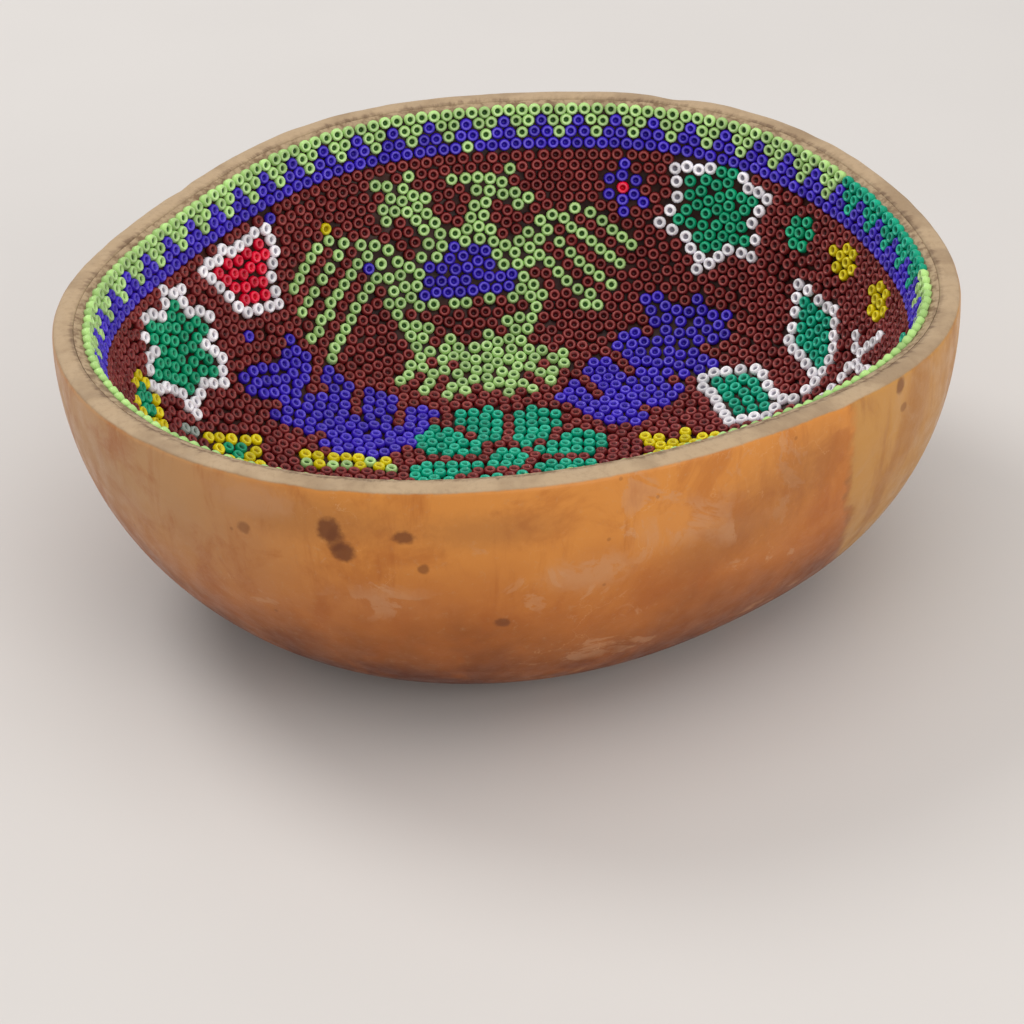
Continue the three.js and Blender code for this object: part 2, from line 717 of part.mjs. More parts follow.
addOutlined('edged_leaf', green, yellow, boardAt(181.8, 7.7), polygon(
  [0.6, 2.6], [2.2, 0], [0.4, -2.8], [-1.8, -1.2], [-1.6, 1.4],
));
addInlay('cluster_clear', clear, boardAt(175, 14.6), [oval(4.2, 3.4, 6)]);
addOutlined('diamond', green, yellow, boardAt(170.4, 20), polygon(
  [-1.6, 2.6], [2.6, -1.2], [0.6, -2.2], [-1.8, 0],
));
addInlay('row_yellow', yellow, boardAt(158.4, 34), [
  strand(at(-3.2, 6), at(5.2, -4.6), 2 * beadPitch),
]);

// Lone beads in the ground
const loneBoard = boardAt(124.3, 7.6);
addLoneBead('bead_yellow', yellow, loneBoard, -0.4, 0.6);
addLoneBead('bead_blue_1', blue, loneBoard, -10.3, 5.8);
addLoneBead('bead_blue_2', blue, loneBoard, -23.6, -10.8);

// Grooves of the ground, each a ring at an even share of the way from the border to the middle
// of the floor. A cutter stands as far above the bed as it cuts into it, so there it is twice as
// wide as the groove.
function grooveSections(share) {
  const sections = [];
  for (let i = 0; i < liningSectors; i += 1) {
    const bearing = 2 * Math.PI * i / liningSectors;
    const low = beadFace - grooveDepth;
    const high = beadFace + grooveDepth;
    const lines = liningProfile(bearing, low, high, borderDepth + seatGap);
    const upper = lines.slice(lines.length / 2);
    const lower = lines.slice(0, lines.length / 2).toReversed();
    const lengths = upper.slice(1).map((point, k) => point.distanceTo(upper[k]));
    const middle = share * lengths.reduce((sum, length) => sum + length);
    const spot = (line, run) => {
      let left = run;
      let k = 0;
      while (k < lengths.length - 1 && left > lengths[k]) {
        left -= lengths[k];
        k += 1;
      }
      return line[k].clone().lerp(line[k + 1], left / lengths[k]);
    };
    sections.push([
      spot(upper, middle - grooveWidth),
      spot(upper, middle + grooveWidth),
      spot(lower, middle),
    ]);
  }
  return sections;
}

const grooveRun = grooveCourses * course;
const fieldLength = fieldRuns(radians(flowerBearing + 180)).at(-1).run + flowerReach - flowerOffset;
const grooveCount = Math.round(fieldLength / grooveRun);
let grooves = bandBody(grooveSections(1 / grooveCount), true);
for (let i = 2; i < grooveCount; i += 1) {
  grooves = grooves.add(bandBody(grooveSections(i / grooveCount), true));
}
addPiece('ground', merged(bed.subtract(grooves)), oxblood);

const plan = new THREE.Box3().setFromObject(gourd).getCenter(new THREE.Vector3());
for (const piece of bowl.children) {
  piece.geometry.translate(-plan.x, -plan.y, 0);
}

export default bowl;
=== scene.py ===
import json
import math

import bpy
import numpy as np
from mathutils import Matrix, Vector
from mathutils.bvhtree import BVHTree


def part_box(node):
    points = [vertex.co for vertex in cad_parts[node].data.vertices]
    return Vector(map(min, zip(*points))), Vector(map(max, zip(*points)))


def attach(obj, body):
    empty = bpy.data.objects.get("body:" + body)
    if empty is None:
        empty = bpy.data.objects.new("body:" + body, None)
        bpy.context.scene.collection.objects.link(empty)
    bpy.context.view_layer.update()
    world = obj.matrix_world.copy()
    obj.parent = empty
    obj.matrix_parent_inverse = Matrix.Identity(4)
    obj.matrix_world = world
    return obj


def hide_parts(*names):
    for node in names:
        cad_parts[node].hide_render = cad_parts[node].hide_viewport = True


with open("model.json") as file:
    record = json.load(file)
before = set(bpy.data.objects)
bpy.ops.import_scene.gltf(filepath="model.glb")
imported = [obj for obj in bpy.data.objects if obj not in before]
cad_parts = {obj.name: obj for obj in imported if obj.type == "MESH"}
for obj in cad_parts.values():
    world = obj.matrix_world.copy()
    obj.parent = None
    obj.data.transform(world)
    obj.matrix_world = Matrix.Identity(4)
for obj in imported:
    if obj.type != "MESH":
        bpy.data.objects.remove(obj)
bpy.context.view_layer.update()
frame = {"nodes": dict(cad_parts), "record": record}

# Everything below is worked out in millimetres and goes to metres when a mesh is made.
metre = 0.001
rng = np.random.default_rng(20)


def say(text):
    print("bowl:", text)


# The bowl's form

form = {
    "rimRadius": 66.5,
    "rimHeight": 48.0,
    "rimLobes": [(2, 5.1, 34), (3, 0.85, 0), (5, 0.7, -19), (6, 0.5, -2)],  # count, swell, bearing
    "rimWave": 1.7,
    "rimWaveBearing": 85,
    "sideFullness": 1.35,
    "footFullness": 4.8,
    "bellySwell": 2.3,
    "footShift": (2.6, -3.2),
    "footShiftEase": 1.5,
    "footFlat": 0.4,
    "rimWall": 3.2,
    "floorThickness": 6.5,
    "wallFullness": 2.5,
    "floorFullness": 4.0,
    "wallTaper": 3.8,
    "beadFace": 2.5,  # top of the beads above the gourd's inner wall
    "bend": 0.001,
}
plan = np.zeros(2)  # middle of the solid's plan box, taken off every point


def outlineRadius(bearing):
    radius = form["rimRadius"]
    for count, swell, turn in form["rimLobes"]:
        radius = radius + swell * np.cos(count * (bearing - math.radians(turn)))
    return radius


def rimLevel(bearing):
    turn = 2 * (bearing - math.radians(form["rimWaveBearing"]))
    return form["rimHeight"] + form["rimWave"] * np.cos(turn)


def sectionPoint(bearing, slide, fullness, floorFullness, inset, swell, floor):
    # a point of a wall; slide goes from 0 at the rim to a quarter turn in the middle of the floor
    drop = np.sin(slide) ** (2 / fullness)
    spread = np.maximum(0, np.cos(slide)) ** (2 / floorFullness)
    radius = (outlineRadius(bearing) - inset + swell * np.sin(np.pi * drop)) * spread
    shift = drop ** form["footShiftEase"]
    x = radius * np.cos(bearing) + form["footShift"][0] * shift - plan[0]
    y = radius * np.sin(bearing) + form["footShift"][1] * shift - plan[1]
    rim = rimLevel(bearing)
    return np.stack(np.broadcast_arrays(x, y, rim - (rim - floor) * drop), axis=-1)


def skinPoint(bearing, slide):
    fullness = form["sideFullness"], form["footFullness"]
    return sectionPoint(bearing, slide, *fullness, 0, form["bellySwell"], -form["footFlat"])


def cavityPoint(bearing, slide):
    fullness = form["wallFullness"], form["floorFullness"]
    inset, swell = form["rimWall"], -form["wallTaper"]
    return sectionPoint(bearing, slide, *fullness, inset, swell, form["floorThickness"])


def unit(vectors):
    return vectors / np.linalg.norm(vectors, axis=-1, keepdims=True)


def liftedPoint(bearing, slide, lift):
    # point and normal at a lift off the cavity wall, towards the hollow
    bend = form["bend"]
    at = np.clip(slide, math.radians(1), math.radians(89))
    around = unit(cavityPoint(bearing + bend, at) - cavityPoint(bearing - bend, at))
    down = unit(cavityPoint(bearing, at + bend) - cavityPoint(bearing, at - bend))
    normal = unit(np.cross(around, down))
    return cavityPoint(bearing, slide) + normal * np.asarray(lift)[..., None], normal


def slideAtDepth(bearing, depth, fullness=form["wallFullness"], floor=form["floorThickness"]):
    return np.arcsin((depth / (rimLevel(bearing) - floor)) ** (fullness / 2))


# The solids stand on the middle of the plan box of a gourd with these corners.
solidSectors, solidSlideStep, solidSlides = 56, 9, 9
cornerBearings = np.arange(solidSectors)[:, None] * 2 * np.pi / solidSectors
cornerSlides = np.radians(np.arange(solidSlides) * solidSlideStep)[None, :]
corners = skinPoint(cornerBearings, cornerSlides).reshape(-1, 3)
plan = (corners.min(0) + corners.max(0))[:2] / 2
low, high = ([round(value / metre, 3) for value in corner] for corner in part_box("gourd_shell"))
corners[:, :2] -= plan
say(f"gourd box {corners.min(0).round(3)} {corners.max(0).round(3)}, solid {low} {high}")

# A chart of the bead field: bearings round, and even steps of length from the middle out to
# the rim. A place on it is a point of the unit disc, so the middle has no seam.

chart = {
    "bearings": 720,
    "steps": 400,
    "slides": 1200,
    "reach": 0.004,
    "dropFrom": 3.0,  # a line is dropped on to the solids from here above the beads
    "dropReach": 5.0,
    "facing": 0.4,  # least share of a face that looks up the line
    "spread": 8,
}


def layChart():
    bearing = np.arange(chart["bearings"])[:, None] * 2 * np.pi / chart["bearings"]
    slide = np.linspace(0, np.pi / 2, chart["slides"])[None, :]
    points, _ = liftedPoint(bearing, slide, form["beadFace"])
    lengths = np.linalg.norm(np.diff(points, axis=1), axis=2)
    run = np.concatenate([np.zeros((len(lengths), 1)), np.cumsum(lengths, axis=1)], axis=1)
    steps = 1 - np.linspace(0, 1, chart["steps"] + 1)
    slides = np.stack([np.interp(row[-1] * steps, row, slide[0]) for row in run])
    points, _ = liftedPoint(bearing, slides, form["beadFace"])
    return np.concatenate([slides, slides[:1]]), np.concatenate([points, points[:1]])


chartSlides, chartPoints = layChart()


def turnOf(place):
    return np.arctan2(place[:, 1], place[:, 0]) % (2 * np.pi) / (2 * np.pi) * chart["bearings"]


def fromChart(values, place):
    step = np.clip(np.hypot(place[:, 0], place[:, 1]), 0, 0.9999) * chart["steps"]
    turn = turnOf(place)
    i = np.minimum(turn.astype(int), chart["bearings"] - 1)
    j = step.astype(int)
    across, along = turn - i, step - j
    if values.ndim == 3:
        across, along = across[:, None], along[:, None]
    near = values[i, j] * (1 - across) + values[i + 1, j] * across
    far = values[i, j + 1] * (1 - across) + values[i + 1, j + 1] * across
    return near * (1 - along) + far * along


def chartSlopes(place):
    reach = chart["reach"]
    ways = np.array([[reach, 0], [0, reach]])
    ends = [(fromChart(chartPoints, place + way), fromChart(chartPoints, place - way)) for way in ways]
    return [(far - near) / (2 * reach) for far, near in ends]


def pushed(place, move):
    # places on the chart after a move in space, kept on the surface
    alongX, alongY = chartSlopes(place)
    xx, xy, yy = (alongX**2).sum(1), (alongX * alongY).sum(1), (alongY**2).sum(1)
    byX, byY = (alongX * move).sum(1), (alongY * move).sum(1)
    det = np.maximum(xx * yy - xy**2, 1e-9)
    return place + np.stack([(yy * byX - xy * byY) / det, (xx * byY - xy * byX) / det], axis=1)


def placeOf(bearing, step):
    return np.stack([step * np.cos(bearing), step * np.sin(bearing)], axis=-1)


# Which solid lies where on the chart, found by dropping a line on to the bead solids.

border = {
    "courses": 4,
    "belowRim": 0.5,
    "pitch": 2.1,
    "toothBeads": 3,
    "seatGap": 0.3,
    "tealFrom": 7,
    "tealTo": 34,
    "straggler": 97,  # one light bead hangs below a tooth here
    "nearDip": 1.7,  # the border hangs lower on the near side
    "wander": 0.05,
    "samples": 720,
}
course = border["pitch"] * math.sqrt(3) / 2
borderDepth = border["belowRim"] + border["courses"] * course
otherWords = ("gourd_shell", "wax_lining", "border")
fieldNodes = [node for node in sorted(frame["nodes"]) if not any(word in node for word in otherWords)]


def meshArrays(node):
    mesh = frame["nodes"][node].data
    points = np.zeros(len(mesh.vertices) * 3)
    mesh.vertices.foreach_get("co", points)
    mesh.calc_loop_triangles()
    triangles = np.zeros(len(mesh.loop_triangles) * 3, int)
    mesh.loop_triangles.foreach_get("vertices", triangles)
    return points.reshape(-1, 3) / metre, triangles.reshape(-1, 3)


def readField():
    points, triangles, owner = [], [], []
    for index, node in enumerate(fieldNodes):
        nodePoints, nodeTriangles = meshArrays(node)
        triangles += (nodeTriangles + len(points)).tolist()
        points += nodePoints.tolist()
        owner += [index] * len(nodeTriangles)
    tree = BVHTree.FromPolygons(points, triangles)
    count, steps = chart["bearings"], chart["steps"]
    bearing, step = np.meshgrid(
        (np.arange(count) + 0.5) * 2 * np.pi / count, (np.arange(steps) + 0.5) / steps, indexing="ij"
    )
    place = placeOf(bearing, step).reshape(-1, 2)
    slide = fromChart(chartSlides, place)
    inside = slide > slideAtDepth(bearing.ravel(), borderDepth + border["seatGap"] / 2)
    above, normal = liftedPoint(bearing.ravel(), slide, form["beadFace"] + chart["dropFrom"])
    label = np.full(count * steps, -1)
    for k in np.flatnonzero(inside):
        _, facing, index, _ = tree.ray_cast(Vector(above[k]), Vector(-normal[k]), chart["dropReach"])
        if index is not None and facing.dot(Vector(normal[k])) > chart["facing"]:
            label[k] = owner[index]
    label, inside = label.reshape(count, steps), inside.reshape(count, steps)
    for _ in range(chart["spread"]):  # the gaps between the solids go to their neighbours
        for axis, way in ((0, 1), (0, -1), (1, 1), (1, -1)):
            beside = np.roll(label, way, axis)
            label = np.where((label < 0) & inside & (beside >= 0), beside, label)
    across = (chartPoints[1:, :-1] + chartPoints[1:, 1:] - chartPoints[:-1, :-1] - chartPoints[:-1, 1:]) / 2
    along = (chartPoints[:-1, 1:] + chartPoints[1:, 1:] - chartPoints[:-1, :-1] - chartPoints[1:, :-1]) / 2
    area = np.linalg.norm(np.cross(across, along), axis=2)
    kept = label.ravel() >= 0
    return place[kept], label.ravel()[kept], area.ravel()[kept]


cellPlace, cellLabel, cellArea = readField()
cellPoint = fromChart(chartPoints, cellPlace)
say(f"{len(cellPlace)} cells on {len(fieldNodes)} solids, {cellArea.sum():.0f} square millimetres")

# Beads of the figures: as many as fit, spread evenly over each solid.

packing = {
    "pitch": 2.1,
    "roomEach": 3.3,  # square millimetres a bead, from which the count comes down
    "closest": 1.88,
    "rounds": 14,
    "groundClosest": 1.76,
    "fieldGap": 2.08,
    "fieldReach": 3.4,
    "fieldRounds": 36,
    "holeReach": [1.6, 1.54, 1.48, 1.44],
    "thinReach": 1.75,  # for outlines and strands, one bead wide
    "holeTries": 60000,
    "figureFreedom": 0.35,
    "homePull": 0.08,
    "damping": 0.7,
    "lookAgain": 8,  # rounds between two searches for neighbours
    "batch": 800,
    "lowestGaps": 20,  # this percentile of the gaps has to be as wide as "closest"
    "petalStrip": 0.3,
    "petalSlack": 0.35,
}


def squaredDistances(a, b):
    return np.maximum((a**2).sum(1)[:, None] + (b**2).sum(1)[None, :] - 2 * a @ b.T, 0)


def evenCentres(points, places, weights, count):
    chosen = [int(np.argmax(np.linalg.norm(points - points.mean(0), axis=1)))]
    nearest = squaredDistances(points, points[chosen])[:, 0]
    while len(chosen) < count:
        chosen.append(int(nearest.argmax()))
        nearest = np.minimum(nearest, squaredDistances(points, points[chosen[-1:]])[:, 0])
    centres, centrePlaces = points[chosen], places[chosen]
    for _ in range(packing["rounds"]):
        owner = squaredDistances(points, centres).argmin(1)
        mass = np.maximum(np.bincount(owner, weights, count), 1e-9)[:, None]
        sums = [np.bincount(owner, weights * places[:, k], count) for k in (0, 1)]
        centrePlaces = np.stack(sums, 1) / mass
        centres = fromChart(chartPoints, centrePlaces)
    return centres, centrePlaces


def nearestGaps(points):
    gaps = squaredDistances(points, points)
    np.fill_diagonal(gaps, 1e9)
    return np.sqrt(gaps.min(1))


def figureBeads(node):
    mine = cellLabel == fieldNodes.index(node)
    points, places, weights = cellPoint[mine], cellPlace[mine], cellArea[mine]
    count = max(1, int(weights.sum() / packing["roomEach"]))
    while True:
        centres, centrePlaces = evenCentres(points, places, weights, count)
        if count == 1:
            return centrePlaces
        if np.percentile(nearestGaps(centres), packing["lowestGaps"]) >= packing["closest"]:
            return centrePlaces
        count -= max(1, count // 25)


def petalBeads(node):
    # square stacks, in columns that all run towards the back of the bowl
    mine = cellLabel == fieldNodes.index(node)
    points, places = cellPoint[mine], cellPlace[mine]
    pitch = packing["pitch"]
    low, high = points[:, 0].min(), points[:, 0].max()
    columns = max(1, round((high - low) / pitch))
    found = []
    for column in range(columns):
        left = low + (high - low) * column / columns
        strip = np.abs(points[:, 0] - left - (high - low) / columns / 2) < packing["petalStrip"]
        if not strip.any():
            continue
        front, back = points[strip, 1].min(), points[strip, 1].max()
        rows = int((back - front + packing["petalSlack"]) / pitch)
        for row in range(rows):
            aim = np.array([left + (high - low) / columns / 2, front + (back - front) * (row + 0.5) / rows])
            found.append(places[np.hypot(*(points[:, :2] - aim).T).argmin()])
    return np.array(found)


def courseBeads():
    # courses of ground beads below the border, where no figure lies
    ground = fieldNodes.index("ground")
    label = np.full((chart["bearings"], chart["steps"]), -1)
    step = (np.hypot(*cellPlace.T) * chart["steps"]).astype(int)
    label[turnOf(cellPlace).astype(int), step] = cellLabel
    bearing = np.arange(chart["bearings"]) * 2 * np.pi / chart["bearings"]
    top = slideAtDepth(bearing, borderDepth)
    lengths = np.linalg.norm(np.diff(chartPoints[:-1], axis=1), axis=2).sum(1)
    steps = np.linspace(0, 1, chart["steps"] + 1)
    topStep = np.array([np.interp(-top[i], -chartSlides[i], steps) for i in range(len(bearing))])
    found = []
    depth = course / 2
    while depth < (topStep * lengths).max():
        rowStep = topStep - depth / lengths
        rowPlace = placeOf(bearing, np.maximum(rowStep, 0))
        rowPoints = fromChart(chartPoints, np.concatenate([rowPlace, rowPlace[:1]]))
        run = np.concatenate([[0], np.cumsum(np.linalg.norm(np.diff(rowPoints, axis=0), axis=1))])
        count = int(run[-1] / packing["pitch"])
        at = (np.arange(count) + rng.random()) * run[-1] / max(count, 1)
        turns = np.interp(at % run[-1], run, np.arange(len(bearing) + 1))
        atStep = np.interp(turns, np.arange(len(bearing) + 1), np.append(rowStep, rowStep[0]))
        good = atStep > 0.01
        i = turns.astype(int) % len(bearing)
        j = np.clip((atStep * chart["steps"]).astype(int), 0, chart["steps"] - 1)
        good &= label[i, j] == ground
        found.append(placeOf(turns * 2 * np.pi / len(bearing), atStep)[good])
        depth += course
    return np.concatenate(found)


def closePairs(points, reach):
    first, second = [], []
    for start in range(0, len(points), packing["batch"]):
        near = squaredDistances(points[start:start + packing["batch"]], points) < reach**2
        a, b = np.nonzero(near)
        forward = b > a + start
        first.append(a[forward] + start)
        second.append(b[forward])
    return np.concatenate(first), np.concatenate(second)


def evenField(place, freedom, fixedPoints, rounds):
    # beads that lie too close push each other off; freedom says how easily each one moves
    home = fromChart(chartPoints, place)
    count = len(place)
    free = np.concatenate([freedom, np.zeros(len(fixedPoints))])
    for turn in range(rounds):
        points = fromChart(chartPoints, place)
        everything = np.concatenate([points, fixedPoints])
        if turn % packing["lookAgain"] == 0:
            first, second = closePairs(everything, packing["fieldReach"])
            movable = free[first] + free[second] > 0
            first, second = first[movable], second[movable]
        away = everything[first] - everything[second]
        gap = np.maximum(np.linalg.norm(away, axis=1), 1e-6)
        push = np.maximum(packing["fieldGap"] - gap, 0) / gap
        total = free[first] + free[second]
        move = np.zeros_like(everything)
        np.add.at(move, first, away * (push * free[first] / total)[:, None])
        np.add.at(move, second, -away * (push * free[second] / total)[:, None])
        pull = (home - points) * (freedom < 1)[:, None] * packing["homePull"]
        place = pushed(place, move[:count] * packing["damping"] + pull)
    return place


def borderBeads():
    # courses of the toothed border: places along the rim and down from it, and their solids
    bearing = np.arange(border["samples"] + 1) * 2 * np.pi / border["samples"]
    rimPoints, _ = liftedPoint(bearing, np.zeros_like(bearing), form["beadFace"])
    run = np.concatenate([[0], np.cumsum(np.linalg.norm(np.diff(rimPoints, axis=0), axis=1))])
    toothCount = round(run[-1] / (border["toothBeads"] * border["pitch"]))
    toothRun = run[-1] / toothCount
    firstTeal = round(np.interp(math.radians(border["tealFrom"]), bearing, run) / toothRun)
    lastTeal = round(np.interp(math.radians(border["tealTo"]), bearing, run) / toothRun)
    lightPlaces = {0: (0.5, 1.5, 2.5), 1: (1, 2), 2: (1.5,), 3: ()}
    rows = []
    for row in range(border["courses"]):
        for tooth in range(toothCount):
            for bead in range(border["toothBeads"]):
                share = bead + (0.5 if row % 2 == 0 else 0)
                light = "border_teeth_teal" if firstTeal <= tooth < lastTeal else "border_teeth_light"
                node = light if share in lightPlaces[row] else "border_band_blue"
                rows.append(((tooth + share / border["toothBeads"]) * toothRun, row, node))
    runs, rowNumbers, nodes = (np.array(column) for column in zip(*rows))
    runs = runs + rng.normal(0, border["wander"], len(rows))
    depth = border["belowRim"] + (rowNumbers + 0.5) * course
    depth += rng.normal(0, border["wander"], len(rows))
    at = np.interp(runs % run[-1], run, bearing)
    depth += border["nearDip"] * np.clip(-np.sin(at) * 1.2 - 0.1, 0, 1)
    offStraggler = np.abs(at - math.radians(border["straggler"])) + 10 * (depth < 3 * course)
    nodes[offStraggler.argmin()] = "border_teeth_light"
    return at, slideAtDepth(at, depth), nodes


borderBearing, borderSlide, borderNode = borderBeads()
borderPoints, _ = liftedPoint(borderBearing, borderSlide, form["beadFace"])
places, owners = [], []
for node in fieldNodes:
    if node == "ground":
        continue
    found = petalBeads(node) if "petal" in node else figureBeads(node)
    places.append(found)
    owners += [node] * len(found)
figurePlace = np.concatenate(places)
say(f"{len(figurePlace)} beads in the figures, {len(borderNode)} in the border")

groundPlace = courseBeads()
laid = np.concatenate([fromChart(chartPoints, figurePlace), borderPoints])
gaps = squaredDistances(fromChart(chartPoints, groundPlace), laid).min(1)
groundPlace = groundPlace[gaps > packing["groundClosest"] ** 2]
everyPlace = np.concatenate([figurePlace, groundPlace])
owners = np.array(owners + ["ground"] * len(groundPlace))
thinWords = ("outline", "wing", "branch", "stem", "bead_")
thin = np.array([any(word in node for word in thinWords) for node in fieldNodes])
for holeReach in (None, *packing["holeReach"]):
    if holeReach:  # a bead goes wherever there is still room for one
        spots = rng.permutation(len(cellPlace))[:packing["holeTries"]]
        reach = np.where(thin[cellLabel[spots]], packing["thinReach"], holeReach)
        taken = np.concatenate([borderPoints, fromChart(chartPoints, everyPlace)])
        batches = np.array_split(spots, 90)
        room = np.concatenate([squaredDistances(cellPoint[batch], taken).min(1) for batch in batches])
        order = np.argsort(-room)
        added = []
        for spot in spots[order][room[order] > reach[order] ** 2]:
            away = cellPoint[added] - cellPoint[spot]
            if not added or np.linalg.norm(away, axis=1).min() > packing["fieldGap"]:
                added.append(spot)
        everyPlace = np.concatenate([everyPlace, cellPlace[added]])
        owners = np.concatenate([owners, [fieldNodes[k] for k in cellLabel[added]]])
        say(f"{len(added)} gaps filled")
    freedom = np.where(owners == "ground", 1, packing["figureFreedom"])
    everyPlace = evenField(everyPlace, freedom, borderPoints, packing["fieldRounds"])
points = fromChart(chartPoints, everyPlace)
first, second = closePairs(np.concatenate([points, borderPoints]), packing["groundClosest"] - 0.14)
isGround = np.append(owners == "ground", np.zeros(len(borderPoints), bool))
crowded = {int(a if isGround[a] else b) for a, b in zip(first, second) if isGround[a] or isGround[b]}
kept = np.array([k not in crowded for k in range(len(everyPlace))])
everyPlace, owners = everyPlace[kept], owners[kept]
say(f"{(owners != 'ground').sum()} beads in the figures and {(owners == 'ground').sum()} in the ground")

# One seed bead and the tree that sets it on every place.

bead = {
    "across": 2.12,
    "height": 1.4,
    "sides": 12,
    # half section from the middle of the foot round to the wax in the hole: shares of the
    # radius and of the height
    "section": [(0, 0.1), (0.86, 0.1), (1, 0.62), (0.8, 0.96), (0.54, 0.97), (0.37, 0.6), (0, 0.46)],
    "tilt": 5.0,  # degrees, either way
    "sink": 0.06,
    "sizeSpread": 0.018,
    "whiteSize": 1.04,
    "seed": 7,
}


def putIn(tree, value, socket):
    if isinstance(value, bpy.types.NodeSocket):
        tree.links.new(value, socket)
    elif socket.type == "RGBA" and len(value) == 3:
        socket.default_value = (*value, 1)
    else:
        socket.default_value = value


def addNode(tree, kind, inputs, output=0, **settings):
    # a node with its settings and what goes into it, values or other nodes' outputs
    node = tree.nodes.new(kind)
    for name, value in settings.items():
        setattr(node, name, value)
    for name, value in inputs.items():
        putIn(tree, value, node.inputs[name])
    return node.outputs[output]


def beadTree():
    tree = bpy.data.node_groups.new("beadBed", "GeometryNodeTree")
    sockets = {}
    for name, kind, value in (
        ("Geometry", "NodeSocketGeometry", None),
        ("Across", "NodeSocketFloat", bead["across"] * metre),
        ("Height", "NodeSocketFloat", bead["height"] * metre),
        ("Sides", "NodeSocketInt", bead["sides"]),
        ("Tilt", "NodeSocketFloat", math.radians(bead["tilt"])),
        ("Seed", "NodeSocketInt", bead["seed"]),
        ("Material", "NodeSocketMaterial", None),
    ):
        socket = tree.interface.new_socket(name, in_out="INPUT", socket_type=kind)
        if value is not None:
            socket.default_value = value
        sockets[name] = socket.identifier
    tree.interface.new_socket("Geometry", in_out="OUTPUT", socket_type="NodeSocketGeometry")
    into = tree.nodes.new("NodeGroupInput").outputs

    def add(kind, inputs, output=0, **settings):
        return addNode(tree, kind, inputs, output, **settings)

    def maths(operation, *values):
        return add("ShaderNodeMath", dict(enumerate(values)), operation=operation)

    def attribute(name, kind):
        return add("GeometryNodeInputNamedAttribute", {"Name": name}, "Attribute", data_type=kind)

    # a grid is rolled up: across it goes round the bead, and up it follows the section
    sheet = add("GeometryNodeMeshGrid", {
        "Size X": 1, "Size Y": 1,
        "Vertices X": maths("ADD", into["Sides"], 1), "Vertices Y": len(bead["section"]),
    })
    apart = add("ShaderNodeSeparateXYZ", {0: add("GeometryNodeInputPosition", {})}).node.outputs
    turn = maths("MULTIPLY", maths("ADD", apart[0], 0.5), 2 * math.pi)
    along = maths("ADD", apart[1], 0.5)
    shares = []
    for column in (0, 1):
        share = add("ShaderNodeFloatCurve", {"Value": along})
        line = share.node.mapping.curves[0]
        shape = [corner[column] for corner in bead["section"]]
        last = len(shape) - 1
        line.points[0].location, line.points[1].location = (0, shape[0]), (1, shape[-1])
        for step in range(1, last):
            line.points.new(step / last, shape[step])
        for point in line.points:
            point.handle_type = "VECTOR"
        share.node.mapping.update()
        shares.append(share)
    radius = maths("MULTIPLY", maths("MULTIPLY", shares[0], into["Across"]), 0.5)
    rolled = add("ShaderNodeCombineXYZ", {
        0: maths("MULTIPLY", radius, maths("COSINE", turn)),
        1: maths("MULTIPLY", radius, maths("SINE", turn)),
        2: maths("MULTIPLY", maths("SUBTRACT", shares[1], 0.5), into["Height"]),
    })
    kept = {"Geometry": sheet, "Name": "fromHole", "Value": shares[0]}
    fromHole = add("GeometryNodeStoreNamedAttribute", kept, data_type="FLOAT", domain="POINT")
    shaped = add("GeometryNodeSetPosition", {"Geometry": fromHole, "Position": rolled})
    closed = add("GeometryNodeMergeByDistance", {"Geometry": shaped, "Distance": 1e-6})

    lie = {"Vector": attribute("lie", "FLOAT_VECTOR")}
    upright = add("FunctionNodeAlignRotationToVector", lie, axis="Z")
    tilt, back = into["Tilt"], maths("MULTIPLY", into["Tilt"], -1)
    lean = add("FunctionNodeRandomValue", {
        "Min": add("ShaderNodeCombineXYZ", {0: back, 1: back}),
        "Max": add("ShaderNodeCombineXYZ", {0: tilt, 1: tilt, 2: 2 * math.pi}),
        "Seed": into["Seed"],
    }, "Value", data_type="FLOAT_VECTOR")
    turns = {"Rotation": upright, "Rotate By": add("FunctionNodeEulerToRotation", {"Euler": lean})}
    setOn = add("GeometryNodeInstanceOnPoints", {
        "Points": into["Geometry"], "Instance": closed, "Scale": attribute("size", "FLOAT"),
        "Rotation": add("FunctionNodeRotateRotation", turns, rotation_space="LOCAL"),
    })
    real = add("GeometryNodeRealizeInstances", {"Geometry": setOn})
    dressed = add("GeometryNodeSetMaterial", {"Geometry": real, "Material": into["Material"]})
    putIn(tree, dressed, tree.nodes.new("NodeGroupOutput").inputs[0])
    return tree, sockets


bedTree, bedSockets = beadTree()


def addMesh(name, points, faces, smooth=True):
    mesh = bpy.data.meshes.new(name)
    mesh.from_pydata((np.asarray(points) * metre).tolist(), [], faces)
    piece = bpy.data.objects.new(name, mesh)
    bpy.context.collection.objects.link(piece)
    if smooth and faces:
        mesh.shade_smooth()
    return piece


def addAttribute(piece, name, values, kind="FLOAT"):
    attribute = piece.data.attributes.new(name, kind, "POINT")
    field = "vector" if kind == "FLOAT_VECTOR" else "value"
    attribute.data.foreach_set(field, np.asarray(values, float).ravel())


def strewBeads(name, points, lies, sizes, tints, material):
    piece = addMesh(name, points, [])
    addAttribute(piece, "lie", lies, "FLOAT_VECTOR")
    addAttribute(piece, "size", sizes)
    addAttribute(piece, "tint", tints)
    modifier = piece.modifiers.new("beadBed", "NODES")
    modifier.node_group = bedTree
    modifier[bedSockets["Material"]] = material
    modifier[bedSockets["Seed"]] = bead["seed"] + len(points)
    graph = bpy.context.evaluated_depsgraph_get()
    strewn = piece.evaluated_get(graph)
    mesh = bpy.data.meshes.new_from_object(strewn, preserve_all_data_layers=True, depsgraph=graph)
    piece.modifiers.clear()
    piece.data = mesh
    mesh.name = name
    mesh.materials.clear()
    mesh.materials.append(material)
    mesh.polygons.foreach_set("material_index", np.zeros(len(mesh.polygons), int))
    mesh.shade_smooth()
    return piece


